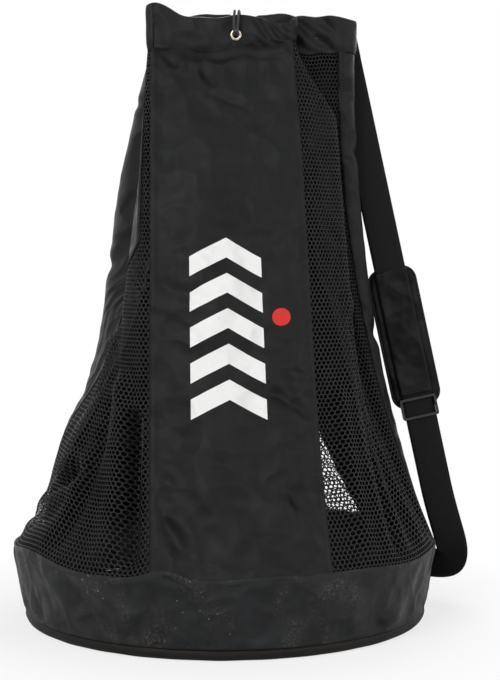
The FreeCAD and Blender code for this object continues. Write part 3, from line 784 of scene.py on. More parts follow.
def netPatch(flat):
    # flat net of six-sided holes: one cell, repeated along a row, then the pair of rows up the sheet
    mesh = bmesh.new()
    size = net["pitch"] / math.sqrt(3)
    bmesh.ops.create_circle(mesh, cap_ends=True, segments=6, radius=size)
    bmesh.ops.recalc_face_normals(mesh, faces=mesh.faces)
    if mesh.faces[:][0].normal.z < 0:
        bmesh.ops.reverse_faces(mesh, faces=mesh.faces)
    bmesh.ops.inset_individual(mesh, faces=mesh.faces[:], thickness=net["strand"] / 2,
                               depth=-net["thickness"] / 2)
    bmesh.ops.delete(mesh, geom=[face for face in mesh.faces if len(face.verts) == 6], context="FACES_ONLY")
    bmesh.ops.translate(mesh, verts=mesh.verts, vec=(0, 0, net["thickness"] / 2))
    back = bmesh.ops.duplicate(mesh, geom=mesh.verts[:] + mesh.edges[:] + mesh.faces[:])["geom"]
    backVerts = [part for part in back if isinstance(part, bmesh.types.BMVert)]
    bmesh.ops.scale(mesh, verts=backVerts, vec=(1, 1, -1))
    bmesh.ops.reverse_faces(mesh, faces=[part for part in back if isinstance(part, bmesh.types.BMFace)])
    columns = math.ceil(flat[0] / net["pitch"]) + 2
    pairs = math.ceil(flat[1] / (3 * size)) + 1
    repeatPart(mesh, columns, (net["pitch"], 0, 0))
    repeatPart(mesh, 2, (net["pitch"] / 2, 1.5 * size, 0))
    repeatPart(mesh, pairs, (0, 3 * size, 0))
    bmesh.ops.translate(mesh, verts=mesh.verts, vec=(-net["pitch"], -size, 0))
    bmesh.ops.remove_doubles(mesh, verts=mesh.verts, dist=0.00002)
    for place, way in (((0, 0, 0), (-1, 0, 0)), ((flat[0], 0, 0), (1, 0, 0)),
                       ((0, 0, 0), (0, -1, 0)), ((0, flat[1], 0), (0, 1, 0))):
        everything = mesh.verts[:] + mesh.edges[:] + mesh.faces[:]
        bmesh.ops.bisect_plane(mesh, geom=everything, plane_co=place, plane_no=way, clear_outer=True)
    return mesh


def clothWidth(name, t):
    # how wide the wall's surface is at each height
    p = np.linspace(0, 1, 120)
    heights = np.linspace(0, 1, 60)
    wide = []
    for height in heights:
        row = wallBase(name, p, height + 0 * p)
        wide.append(np.linalg.norm(np.diff(row, axis=0), axis=1).sum())
    return np.interp(t, heights, wide)


def repeatPart(mesh, count, step):
    part = mesh.verts[:] + mesh.edges[:] + mesh.faces[:]
    for number in range(1, count):
        made = bmesh.ops.duplicate(mesh, geom=part)["geom"]
        verts = [item for item in made if isinstance(item, bmesh.types.BMVert)]
        bmesh.ops.translate(mesh, verts=verts, vec=Vector(step) * number)


def makeNets(materials):
    # the netting keeps its own hole size, a little drawn in where the bag narrows, and the seams cut it
    heights = np.linspace(0, 1, 60)
    for name, fromRight in (("front_right_net", False), ("rear_net", False), ("front_left_net", True)):
        drawn = np.interp(heights, net["drawnHeights"], net["drawn"])
        flatWidths = clothWidth(name, heights) / drawn
        widest = float(flatWidths.max()) + 2 * net["under"]
        tall = wallFlat[name][1]
        mesh = netPatch((widest, tall))
        data = bpy.data.meshes.new(name)
        mesh.to_mesh(data)
        places = readPlaces(data)
        top = 1 + hem["intoCollar"] / (wallShape["high"] - wallShape["low"])
        t = places[:, 1] / tall * top
        wide = np.interp(t, heights, flatWidths)
        p = (places[:, 0] - net["under"]) / wide
        mesh.verts.ensure_lookup_table()
        beyond = p > 1 + net["under"] / wide
        bmesh.ops.delete(mesh, geom=[mesh.verts[index] for index in np.nonzero(beyond)[0]], context="VERTS")
        mesh.to_mesh(data)
        mesh.free()
        flatUv(data, (1, 1))
        kept = ~beyond
        p, t, places = p[kept], t[kept], places[kept]
        p = 1 - p if fromRight else p
        covered = smooth((0.004 - np.minimum(p, 1 - p) * wide[kept]) / 0.006)
        writePlaces(data, wallPlace(name, p, t, places[:, 2] - net["tuck"] * covered)[0])
        if fromRight:
            data.flip_normals()
        piece = finishPiece(name.replace("net", "open_net"), data, materials["net"], "bag")
        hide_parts(name)
        print("net", name, len(data.polygons))


def makeSeamTapes(materials):
    names = list(walls)
    for before, after in zip(names, names[1:] + names[:1]):
        def placing(q, t, before=before, after=after):
            side = (q - 0.5) * tape["width"]
            inward = -tape["inside"] + 0 * t
            left = wallPlace(before, 1 + np.minimum(side, 0) / wallFlat[before][0], t, inward)[0]
            right = wallPlace(after, np.maximum(side, 0) / wallFlat[after][0], t, inward)[0]
            return np.where((side < 0)[:, None], left, right)

        data = gridMesh("tape", 6, 150, (tape["width"], tape["length"]), placing)
        piece = finishPiece("inside_tape_" + before, data, materials["tape"], "bag")
        thicken(piece, tape["thickness"])
        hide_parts("seam_tape_" + before)
    print("seam tapes")


# ---- tub

tub = {
    "edgeRadius": 0.3125,
    "topRadius": 0.3292,
    "edgeHeight": 0.018,
    "top": 0.112,
    "thickness": 0.0022,
    "overlap": 0.003,
    "bottom": 0.0165,
    "flatHeight": 0.1,
    "foldDip": 0.4,
}

# folds of the tub's cloth: degrees and height share at both ends, depth and width in metres
tubFolds = [
    (-48, 0.95, -30, 0.10, -0.0045, 0.012),
    (-38, 0.90, -20, 0.25, 0.0035, 0.014),
    (-14, 0.98, -24, 0.15, -0.0042, 0.012),
    (-12, 0.90, 2, 0.25, -0.0028, 0.012),
    (20, 0.85, 8, 0.15, -0.0026, 0.014),
    (34, 0.95, 46, 0.10, -0.0034, 0.014),
    (60, 0.90, 52, 0.12, 0.0030, 0.016),
    (-68, 0.90, -60, 0.10, -0.0036, 0.014),
    (-82, 0.85, -74, 0.15, 0.003, 0.016),
    (84, 0.90, 76, 0.15, -0.0034, 0.016),
    (118, 0.9, 108, 0.1, -0.004, 0.015),
    (150, 0.85, 160, 0.1, -0.0035, 0.016),
    (196, 0.9, 186, 0.15, -0.004, 0.015),
    (226, 0.9, 236, 0.1, -0.0036, 0.016),
    (262, 0.9, 254, 0.1, -0.004, 0.015),
]


def tubRadius(z):
    share = (z - tub["edgeHeight"]) / (tub["top"] - tub["edgeHeight"])
    return tub["edgeRadius"] + np.clip(share, 0, 1) * (tub["topRadius"] - tub["edgeRadius"])


def tubLift(degrees, share):
    halfRound = math.pi * tub["topRadius"]
    around = np.radians(degrees) * tub["topRadius"]
    tall = tub["top"] - tub["edgeHeight"]
    height = share * tall
    total = 0.0022 * ripples(around, height, 5, 0.07, 1.6) + 0.0009 * ripples(around, height, 6, 0.025)
    for start, startUp, end, endUp, depth, width in tubFolds:
        startAround = math.radians(start) * tub["topRadius"]
        # distance round from the fold's start, the short way
        fromStart = np.mod(around - startAround + halfRound, 2 * halfRound) - halfRound
        far = (math.radians(end) * tub["topRadius"] - startAround, endUp * tall)
        total = total + depth * crease(fromStart, height, (0, startUp * tall), far, width, tub["foldDip"])
    return total * smooth(share / 0.12) * smooth((1 - share) / 0.10)


def tubPlaces(inside, low, high):
    def placing(p, t):
        degrees = 180 + 360 * p
        angle = np.radians(degrees)
        lift = tubSeamLift(degrees)
        top = tub["top"] + lift + high
        z = low + t * (top - low)
        share = (z - tub["edgeHeight"]) / (tub["top"] + lift - tub["edgeHeight"])
        radius = tubRadius(z) + tubLift(degrees, np.clip(share, 0, 1)) - inside
        return np.stack([radius * np.sin(angle), -radius * np.cos(angle), z], axis=-1)

    return placing


def makeTub(materials):
    around = 2 * math.pi * tub["topRadius"]
    data = gridMesh("tub_wall", 440, 30, (around, tub["flatHeight"]),
                    tubPlaces(-0.0006, tub["bottom"], tub["overlap"]), close=True)
    wall = finishPiece("tub_wall", data, materials["base"], "bag")
    thicken(wall, tub["thickness"], -1)
    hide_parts("base_wall")
    inside = gridMesh("tub_tape", 240, 5, (around, tape["width"]), tubPlaces(0.0044, 0.094, -0.0005),
                      close=True)
    lining = finishPiece("tub_seam_tape", inside, materials["tape"], "bag")
    thicken(lining, 0.001, -1)
    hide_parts("base_wall_tape")
    print("tub wall")


rolledEdge = {"middleRadius": 0.3052, "middleHeight": 0.0092, "halfWidth": 0.0073, "halfHeight": 0.0092,
              "sides": 16, "steps": 300}


def makeRolledEdge(materials):
    # a soft roll of binding, spun round the floor and then made uneven
    mesh = bmesh.new()
    bmesh.ops.create_circle(mesh, segments=rolledEdge["sides"], radius=1)
    bmesh.ops.scale(mesh, verts=mesh.verts, vec=(rolledEdge["halfWidth"], rolledEdge["halfHeight"], 1))
    bmesh.ops.rotate(mesh, verts=mesh.verts, matrix=Matrix.Rotation(math.radians(90), 3, "X"))
    bmesh.ops.translate(mesh, verts=mesh.verts,
                        vec=(rolledEdge["middleRadius"], 0, rolledEdge["middleHeight"]))
    bmesh.ops.spin(mesh, geom=mesh.verts[:] + mesh.edges[:], axis=(0, 0, 1), cent=(0, 0, 0),
                   angle=2 * math.pi, steps=rolledEdge["steps"], use_merge=True)
    bmesh.ops.recalc_face_normals(mesh, faces=mesh.faces)
    data = meshData(mesh, "rolled_edge")
    places = readPlaces(data)
    around = np.arctan2(places[:, 1], places[:, 0]) * rolledEdge["middleRadius"]
    radius = np.hypot(places[:, 0], places[:, 1])
    swell = 1 + 0.0016 * ripples(around, 0, 8, 0.05) * (places[:, 2] > 0.004) / radius
    places[:, :2] *= swell[:, None]
    places[:, 2] = np.maximum(places[:, 2] + 0.0006 * ripples(around, 0, 9, 0.08), 0.0)
    writePlaces(data, places)
    piece = finishPiece("rolled_edge", data, materials["edge"], "bag")
    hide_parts("base_rolled_edge")
    print("rolled edge")


floorCloth = {"innerRadius": 0.004, "radius": 0.2995, "height": 0.0034, "flat": 0.6, "area": 0.283,
              "thickness": 0.0022}


def makeFloor(materials):
    # round floor cloth, drawn as rings from the middle outwards
    def placing(p, t):
        angle = 2 * math.pi * p
        radius = floorCloth["innerRadius"] + t * (floorCloth["radius"] - floorCloth["innerRadius"])
        x, y = radius * np.cos(angle), radius * np.sin(angle)
        z = floorCloth["height"] + 0.0012 * ripples(x, y, 3, 0.16) * smooth((0.29 - radius) / 0.05)
        return np.stack([x, y, z], axis=-1)

    data = gridMesh("floor_cloth", 128, 40, (1.8, 0.3), placing, close=True)
    mesh = bmesh.new()
    mesh.from_mesh(data)
    inner = [edge for edge in mesh.edges if edge.is_boundary and edge.verts[0].co.xy.length < 0.01]
    bmesh.ops.contextual_create(mesh, geom=inner)
    bmesh.ops.recalc_face_normals(mesh, faces=mesh.faces)
    if sum(face.normal.z for face in mesh.faces) < 0:
        bmesh.ops.reverse_faces(mesh, faces=mesh.faces)
    mesh.to_mesh(data)
    mesh.free()
    piece = finishPiece("floor_cloth", data, materials["base"], "bag")
    thicken(piece, floorCloth["thickness"], -1)
    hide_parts("base_floor")
    print("floor")


# ---- collar

collar = {
    "columns": 620,
    "rows": 34,
    "seam": 0.877,
    "rim": 0.930,
    "half": 0.0042,
    "pinched": 0.0014,
    "cloth": 0.0012,
    "belowSeam": 0.003,
}


def collarProfile(q):
    # outward offset and height share over the folded band: up the outside, over the rim, down the inside
    side = np.where(q < 0.5, 1.0, -1.0)
    up = 1 - np.abs(2 * q - 1)
    height = np.minimum(up / 0.9, 1.0)
    around = np.clip((up - 0.9) / 0.1, 0, 1) * math.pi / 2
    swell = collar["pinched"] + (collar["half"] - collar["pinched"]) * smooth(height / 0.22)
    offset = side * swell * np.cos(around)
    rise = height + 0.075 * np.sin(around)
    return offset, rise / 1.075


def collarPlace(along, offset, rise):
    x, y, heading = mouthAt(along)
    seam = collar["seam"] + collarSeamLift(along) - collar["belowSeam"]
    rim = collar["rim"] + rimLift(along)
    z = seam + rise * (rim - seam)
    eyeletNear = np.exp(-((x - eyelet["x"]) ** 2 + (z - eyelet["z"]) ** 2) / eyelet["calm"] ** 2)
    calm = (1 - eyeletNear * (y < -0.03)) * np.where((y > 0.03) & (x > 0.11), 0.2, 1.0)
    waves = 0.0014 * ripples(along, z, 11, 0.030, 3.0) + 0.0008 * ripples(along, z, 12, 0.014, 2.0)
    gather = 0.0026 * np.sin(along * 2 * math.pi / 0.021 + 9 * rise) * hump(along, 0.185, 0.035)
    slant = 0.0036 * np.sin((along * 0.8 + (z - collar["seam"])) * 2 * math.pi / 0.034)
    slant = slant * smooth((along - corner[3]) / 0.02)
    slant = slant * smooth((corner[5] - along) / 0.02)
    push = offset + (waves + gather + slant) * calm * smooth(rise / 0.15)
    return np.stack([x + push * np.sin(heading), y - push * np.cos(heading), z], axis=-1)


def makeCollar(materials):
    def placing(p, q):
        offset, rise = collarProfile(q)
        return collarPlace(p * mouthLength, offset, rise)

    data = gridMesh("collar_band", collar["columns"], collar["rows"], (mouthLength, 0.11), placing,
                    close=True)
    mesh = bmesh.new()
    mesh.from_mesh(data)
    hole = [face for face in mesh.faces
            if face.calc_center_median().y < -0.04
            and math.hypot(face.calc_center_median().x - eyelet["x"],
                           face.calc_center_median().z - eyelet["z"]) < eyelet["cut"]]
    bmesh.ops.delete(mesh, geom=hole, context="FACES")
    mesh.to_mesh(data)
    mesh.free()
    piece = finishPiece("collar_band", data, materials["collar"], "bag")
    thicken(piece, collar["cloth"], -1)
    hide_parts("collar")
    print("collar")


eyelet = {"x": 0.017, "z": 0.897, "y": -0.0428, "ringRadius": 0.0064, "ringHalf": 0.0021, "ringRise": 0.0008,
          "barrelRadius": 0.0046, "barrelLength": 0.0034, "cut": 0.0058, "calm": 0.016}


def makeEyelet(materials):
    # rolled ring and its short barrel, spun about the hole
    mesh = bmesh.new()
    for radius, halfWide, halfDeep, depth in (
            (eyelet["ringRadius"], eyelet["ringHalf"], eyelet["ringRise"], 0.0),
            (eyelet["barrelRadius"], 0.0003, eyelet["barrelLength"] / 2, eyelet["barrelLength"] / 2)):
        ring = bmesh.ops.create_circle(mesh, segments=12, radius=1)["verts"]
        bmesh.ops.scale(mesh, verts=ring, vec=(halfWide, halfDeep, 1))
        bmesh.ops.translate(mesh, verts=ring, vec=(radius, depth, 0))
        edges = [edge for edge in mesh.edges if edge.verts[0] in ring and edge.verts[1] in ring]
        bmesh.ops.spin(mesh, geom=ring + edges, axis=(0, 1, 0), cent=(0, 0, 0), angle=2 * math.pi, steps=48,
                       use_merge=True)
    bmesh.ops.remove_doubles(mesh, verts=mesh.verts, dist=0.000001)
    bmesh.ops.recalc_face_normals(mesh, faces=mesh.faces)
    bmesh.ops.translate(mesh, verts=mesh.verts, vec=(eyelet["x"], eyelet["y"], eyelet["z"]))
    data = meshData(mesh, "eyelet_ring")
    piece = finishPiece("eyelet_ring", data, materials["eyelet"], "bag")
    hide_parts("eyelet")
    print("eyelet")


# ---- strap

strap = {
    "topX": 0.1803, "topZ": 0.917, "plane": 0.046, "slope": 0.21875, "straightEnd": 0.197,
    "reach": 0.120, "far": (0.405, 0.075, 0.045), "foot": (0.310515, 0.119195, 0.058),
    "hingeTop": (0.1553, 0.046, 0.917), "twist": 0.2, "width": 0.050, "thickness": 0.002,
    "length": 1.03, "straightShare": 0.72,
}
strapDown = Vector((strap["slope"], 0, -1)).normalized()
strapAcross = Vector((1, 0, strap["slope"])).normalized()


def strapStation(share):
    # middle of the webbing and its width direction, from the collar down to the foot
    if share <= strap["straightShare"]:
        z = strap["topZ"] - share / strap["straightShare"] * (strap["topZ"] - strap["straightEnd"])
        return Vector((strap["topX"] + (strap["topZ"] - z) * strap["slope"], strap["plane"], z)), strapAcross
    share = (share - strap["straightShare"]) / (1 - strap["straightShare"])
    rest = 1 - share
    start = strapStation(strap["straightShare"])[0]
    near = start + strapDown * strap["reach"]
    far, foot = Vector(strap["far"]), Vector(strap["foot"])
    centre = start * rest ** 3 + near * (3 * rest ** 2 * share)
    centre = centre + far * (3 * rest * share ** 2)
    centre = centre + foot * share ** 3
    heading = (near - start) * rest ** 2 + (far - near) * (2 * rest * share)
    heading = (heading + (foot - far) * share ** 2).normalized()
    hinge = (Vector(strap["hingeTop"]) - foot).normalized()
    blend = share * share * (3 - 2 * share)
    lean = strapDown * (strap["twist"] * math.sin(math.pi * share))
    width = strapAcross * (1 - blend) - hinge * blend + lean
    width = width - heading * width.dot(heading) * min(1.0, 8 * rest)
    return centre, width.normalized()


def makeWebbing(materials):
    steps = 300
    stations = [strapStation(step / steps) for step in range(steps + 1)]
    centres = np.array([tuple(centre) for centre, width in stations])
    widths = np.array([tuple(width) for centre, width in stations])

    def placing(p, t):
        row = np.clip((t * steps).round().astype(int), 0, steps)
        return centres[row] + widths[row] * ((p - 0.5) * strap["width"])[:, None]

    data = gridMesh("webbing_strap", 10, steps, (strap["width"], strap["length"]), placing)
    piece = finishPiece("webbing_strap", data, materials["webbing"], "strap")
    thicken(piece, strap["thickness"])
    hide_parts("strap_webbing")
    print("webbing")


def softCopy(name, node, material, body, bevel):
    # a CAD part's own shape with its edges rounded
    mesh = bmesh.new()
    mesh.from_mesh(nodes[node].data)
    bmesh.ops.remove_doubles(mesh, verts=mesh.verts, dist=0.000002)
    bmesh.ops.dissolve_limit(mesh, angle_limit=math.radians(2), verts=mesh.verts, edges=mesh.edges)
    data = meshData(mesh, name)
    piece = finishPiece(name, data, material, body, smoothFaces=False)
    modifier = piece.modifiers.new("edges", "BEVEL")
    modifier.width = bevel
    modifier.segments = 3
    modifier.limit_method = "ANGLE"
    modifier.angle_limit = math.radians(35)
    modifier.harden_normals = False
    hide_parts(node)
    return piece


pad = {
    "centreZ": 0.430, "length": 0.230, "width": 0.080, "corner": 0.024,
    "front": 0.0012, "back": 0.0108, "piping": 0.0024, "crown": 0.0016,
    "voxel": 0.004, "frames": 20, "pressure": 4.0, "cap": 0.003, "sewn": 0.006,
    "sleeveTop": 0.110, "sleeveBottom": -0.092, "sleeveWidth": 0.0535, "stitchTop": 0.094,
}


def onStrap(places):
    # from the pad's own space (x across, y back, z up the strap) to its place
    centre = Vector((strap["topX"] + (strap["topZ"] - pad["centreZ"]) * strap["slope"], strap["plane"],
                     pad["centreZ"]))
    basis = np.array([tuple(strapAcross), (0, 1, 0), tuple(-strapDown)])
    return np.asarray(places) @ basis + np.array(tuple(centre))


def padOutline(inset, count):
    # points round the pad's rounded outline, evenly spread
    halfX = pad["width"] / 2 - inset
    halfZ = pad["length"] / 2 - inset
    radius = pad["corner"] - inset
    points = []
    for quarter, (cx, cz) in enumerate(((1, 1), (-1, 1), (-1, -1), (1, -1))):
        for step in range(13):
            angle = math.radians(90 * quarter + 90 * step / 12)
            points.append((cx * (halfX - radius) + radius * math.cos(angle),
                           cz * (halfZ - radius) + radius * math.sin(angle)))
    points = np.array(points + points[:1])
    walked = np.concatenate([[0], np.cumsum(np.hypot(*np.diff(points, axis=0).T))])
    wanted = np.linspace(0, walked[-1], count, endpoint=False)
    return np.stack([np.interp(wanted, walked, points[:, 0]), np.interp(wanted, walked, points[:, 1])],
                    axis=-1)


def padBlank():
    # flat rounded slab in the pad's own space, a little smaller than the finished pad
    mesh = bmesh.new()
    outline = padOutline(pad["piping"] + 0.001, 120)
    verts = [mesh.verts.new((x, pad["front"] + 0.0012, z)) for x, z in outline]
    face = mesh.faces.new(verts)
    made = bmesh.ops.extrude_face_region(mesh, geom=[face])["geom"]
    lifted = [part for part in made if isinstance(part, bmesh.types.BMVert)]
    bmesh.ops.translate(mesh, verts=lifted, vec=(0, pad["back"] - pad["front"] - 0.0024, 0))
    bmesh.ops.recalc_face_normals(mesh, faces=mesh.faces)
    return meshData(mesh, "shoulder_pad")


def applyModifiers(piece):
    graph = bpy.context.evaluated_depsgraph_get()
    graph.update()
    return bpy.data.meshes.new_from_object(piece.evaluated_get(graph))


def insideOutline(places):
    # how far each point lies inside the pad's rounded outline
    x = np.abs(places[:, 0]) - pad["width"] / 2 + pad["corner"]
    z = np.abs(places[:, 2]) - pad["length"] / 2 + pad["corner"]
    reach = np.hypot(np.maximum(x, 0), np.maximum(z, 0)) + np.minimum(np.maximum(x, z), 0)
    return pad["corner"] - pad["piping"] - reach


def puffPad(data):
    # remesh the blank, sew its rim to the piping and let cloth pressure swell the rest, up to the cap
    holder = bpy.data.objects.new("padBlank", data)
    bpy.context.scene.collection.objects.link(holder)
    remesh = holder.modifiers.new("remesh", "REMESH")
    remesh.mode = "VOXEL"
    remesh.voxel_size = pad["voxel"]
    even = applyModifiers(holder)
    holder.modifiers.clear()
    holder.data = even
    before = readPlaces(even)
    after = before.copy()
    cloth = holder.modifiers.new("cloth", "CLOTH")
    cloth.settings.use_pressure = True
    cloth.settings.uniform_pressure_force = pad["pressure"]
    cloth.settings.effector_weights.gravity = 0
    cloth.settings.quality = 5
    rim = holder.vertex_groups.new(name="rim")
    rim.add(np.flatnonzero(insideOutline(before) < pad["sewn"]).tolist(), 1.0, "REPLACE")
    cloth.settings.vertex_group_mass = "rim"
    for number in range(1, pad["frames"] + 1):
        bpy.context.scene.frame_set(number)
    after = readPlaces(applyModifiers(holder))
    bpy.context.scene.frame_set(1)
    holder.modifiers.clear()
    moved = after - before
    size = np.linalg.norm(moved, axis=1, keepdims=True)
    after = before + moved * np.minimum(1.0, pad["cap"] / np.maximum(size, 1e-9))
    bpy.data.objects.remove(holder)
    return even, after


def makePad(materials):
    data, places = puffPad(padBlank())
    # the webbing's tunnel presses the pad's front flat, and quilting pulls it in at both ends
    edge = smooth((pad["width"] / 2 - np.abs(places[:, 0])) / 0.018)
    ends = smooth((pad["length"] / 2 - np.abs(places[:, 2])) / 0.018)
    rear = places[:, 1] > (pad["front"] + pad["back"]) / 2
    places[:, 1] += np.where(rear, pad["crown"], 0.0) * edge * ends
    places[:, 1] = np.maximum(places[:, 1], pad["front"] + 0.0001)
    wing = smooth((np.abs(places[:, 0]) - 0.026) / 0.004) * edge * ends
    places[:, 1] -= np.where(rear, 0.0, 0.0022) * wing
    writePlaces(data, onStrap(places))
    piece = finishPiece("shoulder_pad", data, materials["pad"], "shoulder_pad")
    smoothing = piece.modifiers.new("subdivide", "SUBSURF")
    smoothing.levels = 1
    smoothing.render_levels = 1
    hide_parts("shoulder_pad_cover", "shoulder_pad_foam", "shoulder_pad_backing")

    ring = padOutline(pad["piping"], 160)
    middle = (pad["front"] + pad["back"]) / 2
    loop = onStrap([(x, middle, z) for x, z in ring])
    piping = finishPiece("pad_piping", curveMesh("pad_piping", loop, pad["piping"], closed=True),
                         materials["edge"], "shoulder_pad")
    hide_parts("shoulder_pad_binding")

    def sleeve(p, t):
        across = (p - 0.5) * pad["sleeveWidth"]
        up = pad["sleeveBottom"] + t * (pad["sleeveTop"] - pad["sleeveBottom"])
        rim = smooth((np.abs(across) - 0.0235) / 0.0032)
        depth = -0.0026 + rim * 0.0034 + 0.0005 * ripples(across, up, 21, 0.03)
        ends = np.minimum(t, 1 - t) * (pad["sleeveTop"] - pad["sleeveBottom"])
        return onStrap(np.stack([across, depth + 0.0008 * (1 - smooth(ends / 0.006)), up], axis=-1))

    flat = (pad["sleeveWidth"], pad["sleeveTop"] - pad["sleeveBottom"])
    data = gridMesh("pad_sleeve", 28, 110, flat, sleeve)
    tunnel = finishPiece("pad_sleeve", data, materials["pad"], "shoulder_pad")
    thicken(tunnel, 0.0007, 0)
    print("pad")


# ---- stitching

stitch = {"length": 0.0030, "gap": 0.0044, "width": 0.0008}


def sewRow(name, line, outward, materials, body="bag"):
    # thread lying along a line of points, one short bead for each stitch
    line = np.asarray(line)
    walked = np.concatenate([[0], np.cumsum(np.linalg.norm(np.diff(line, axis=0), axis=1))])
    count = int(walked[-1] / stitch["gap"])
    mesh = bmesh.new()
    for number in range(count):
        centre = (number + 0.5) * stitch["gap"]
        ends = [Vector([np.interp(centre + side * 0.001, walked, line[:, axis]) for axis in range(3)])
                for side in (-1, 1)]
        along = (ends[1] - ends[0]).normalized()
        out = Vector([np.interp(centre, walked, outward[:, axis]) for axis in range(3)]).normalized()
        side = out.cross(along).normalized()
        turn = Matrix((along * stitch["length"] / 2, side * stitch["width"] / 2,
                       out * stitch["width"] / 2)).transposed()
        place = Matrix.Translation((ends[0] + ends[1]) / 2) @ turn.to_4x4()
        bmesh.ops.create_icosphere(mesh, subdivisions=1, radius=1, matrix=place)
    return finishPiece(name, meshData(mesh, name), materials["thread"], body)


def sewWallSeams(materials):
    t = np.linspace(0.0, 1.0, 400)
    for name in panelGrid:
        wide = wallFlat[name][0]
        for edge, p in (("left", 0.0), ("right", 1.0)):
            inset = 0.0006 / wide * (1 if edge == "left" else -1)
            line, outward = wallPlace(name, p + inset + 0 * t, t, hem["lift"] + 0.0007 + 0 * t)
            sewRow("stitches_" + name + "_" + edge, line, outward, materials)
    print("wall stitches")


def sewRounds(materials):
    p = np.linspace(0.0, 1.0, 900)
    degrees = 180 + 360 * p
    angle = np.radians(degrees)
    outward = np.stack([np.sin(angle), -np.cos(angle), 0 * angle], axis=-1)
    for name, drop in (("stitches_tub_top", 0.0045), ("stitches_tub_bottom", None)):
        if drop is None:
            z = 0.0225 + 0 * p
            share = (z - tub["edgeHeight"]) / (tub["top"] - tub["edgeHeight"])
        else:
            z = tub["top"] + tubSeamLift(degrees) - drop
            share = (z - tub["edgeHeight"]) / (tub["top"] + tubSeamLift(degrees) - tub["edgeHeight"])
        radius = tubRadius(z) + tubLift(degrees, share) + 0.0008
        line = np.stack([radius * np.sin(angle), -radius * np.cos(angle), z], axis=-1)
        sewRow(name, line, outward, materials)
    along = np.linspace(0, mouthLength, 2400)
    x, y, heading = mouthAt(along)
    facing = np.stack([np.sin(heading), -np.cos(heading), 0 * heading], axis=-1)
    for name, rise in (("stitches_collar_seam", 0.10), ("stitches_collar_top", 0.84)):
        swell = collar["pinched"] + (collar["half"] - collar["pinched"]) * smooth(rise * 1.075 / 0.22)
        line = collarPlace(along, swell + 0.0001 + 0 * along, rise + 0 * along)
        sewRow(name, line, facing, materials)
    print("round stitches")


def sewPad(materials):
    across = np.linspace(-0.022, 0.022, 30)
    outward = np.tile(np.array([0.0, -1.0, 0.0]), (30, 1))
    for name, up in (("stitches_pad_top", pad["stitchTop"]), ("stitches_pad_bottom", -0.080)):
        line = onStrap(np.stack([across, -0.0031 + 0 * across, up + 0 * across], axis=-1))
        sewRow(name, line, outward, materials, "shoulder_pad")
    up = np.linspace(pad["sleeveBottom"] + 0.004, pad["sleeveTop"] - 0.004, 60)
    outward = np.tile(np.array([0.0, -1.0, 0.0]), (60, 1))
    for name, side in (("stitches_sleeve_left", -1), ("stitches_sleeve_right", 1)):
        line = onStrap(np.stack([side * 0.0258 + 0 * up, 0.0002 + 0 * up, up], axis=-1))
        sewRow(name, line, outward, materials, "shoulder_pad")


# ---- studio

studio = {
    "ambient": 0.42,
    "key": {"place": (-1.5, -2.6, 2.2), "size": 1.8, "watts": 60},
    "fill": {"place": (2.2, -1.6, 1.3), "size": 1.6, "watts": 22},
    "rear": {"place": (0.6, 2.4, 1.8), "size": 1.6, "watts": 25},
    "floorRadius": 6.0,
}


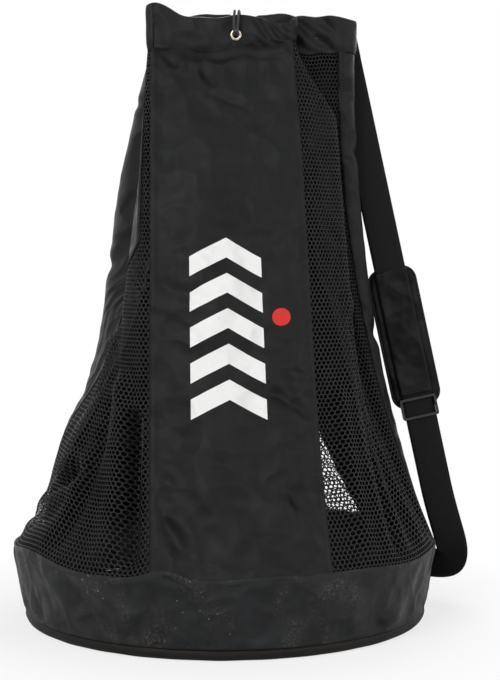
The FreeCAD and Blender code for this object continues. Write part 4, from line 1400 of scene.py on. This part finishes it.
def addStudio():
    world = bpy.data.worlds.new("studio")
    bpy.context.scene.world = world
    world.use_nodes = True
    world.node_tree.nodes.clear()
    # rays from the camera, and through gloss or glass, see plain white
    path = addNode(world, "ShaderNodeLightPath").outputs
    mirrored = calc(world, "MAXIMUM", path["Is Glossy Ray"], path["Is Transmission Ray"])
    seen = calc(world, "MAXIMUM", path["Is Camera Ray"], mirrored)
    light = addNode(world, "ShaderNodeBackground", {"Color": (1, 1, 1, 1), "Strength": studio["ambient"]})
    white = addNode(world, "ShaderNodeBackground", {"Color": (1, 1, 1, 1), "Strength": 1.0})
    mix = addNode(world, "ShaderNodeMixShader", {0: seen, 1: light.outputs[0], 2: white.outputs[0]})
    addNode(world, "ShaderNodeOutputWorld", {"Surface": mix.outputs[0]})

    for name in ("key", "fill", "rear"):
        lamp = bpy.data.lights.new(name, "AREA")
        lamp.size = studio[name]["size"]
        lamp.energy = studio[name]["watts"]
        holder = bpy.data.objects.new(name, lamp)
        holder.location = studio[name]["place"]
        aim = Vector((0, 0, 0.45)) - Vector(studio[name]["place"])
        holder.rotation_euler = aim.to_track_quat("-Z", "Y").to_euler()
        bpy.context.scene.collection.objects.link(holder)


def addFloor():
    mesh = bmesh.new()
    bmesh.ops.create_circle(mesh, cap_ends=True, segments=96, radius=studio["floorRadius"])
    data = meshData(mesh, "ground")
    material = newMaterial("groundWhite", (0.9, 0.9, 0.9), 0.8)
    tree = material.node_tree
    vector = coordinates(material, "Object")
    away = addNode(material, "ShaderNodeVectorMath", {0: vector}, operation="LENGTH").outputs["Value"]
    far = addNode(material, "ShaderNodeMapRange", {"Value": away, "From Min": 0.36, "From Max": 0.62,
                                                   "To Min": 0.72}).outputs["Result"]
    path = addNode(material, "ShaderNodeLightPath")
    glow = addNode(material, "ShaderNodeEmission", {"Color": (1, 1, 1, 1), "Strength": 1.0})
    factor = calc(material, "MULTIPLY", far, path.outputs["Is Camera Ray"])
    mix = addNode(material, "ShaderNodeMixShader", {0: factor, 1: shaderOf(material).outputs[0],
                                                    2: glow.outputs[0]})
    tree.links.new(mix.outputs[0], tree.nodes["Material Output"].inputs["Surface"])
    data.materials.append(material)
    ground = bpy.data.objects.new("ground", data)
    ground.location = (0, 0, -0.0006)
    bpy.context.scene.collection.objects.link(ground)


def paintNode(node, material):
    nodes[node].data.materials.clear()
    nodes[node].data.materials.append(material)


bpy.context.scene.view_settings.view_transform = "Standard"
addCamera()
materials = makeMaterials()
makeCords(materials)
makeTub(materials)
makeRolledEdge(materials)
makeFloor(materials)
makePanels(materials)
makeNets(materials)
makeSeamTapes(materials)
makeCollar(materials)
makeEyelet(materials)
makeWebbing(materials)
softCopy("top_tab", "strap_top_tab", materials["tab"], "bag", 0.0004)
softCopy("foot_tab", "strap_bottom_tab", materials["tab"], "bag", 0.0004)
softCopy("slider", "slider_buckle", materials["buckle"], "slider", 0.0011)
makePad(materials)
sewWallSeams(materials)
sewRounds(materials)
sewPad(materials)
paintNode("drawcord", materials["cord"])
paintNode("eyelet_washer", materials["eyelet"])
addStudio()
addFloor()
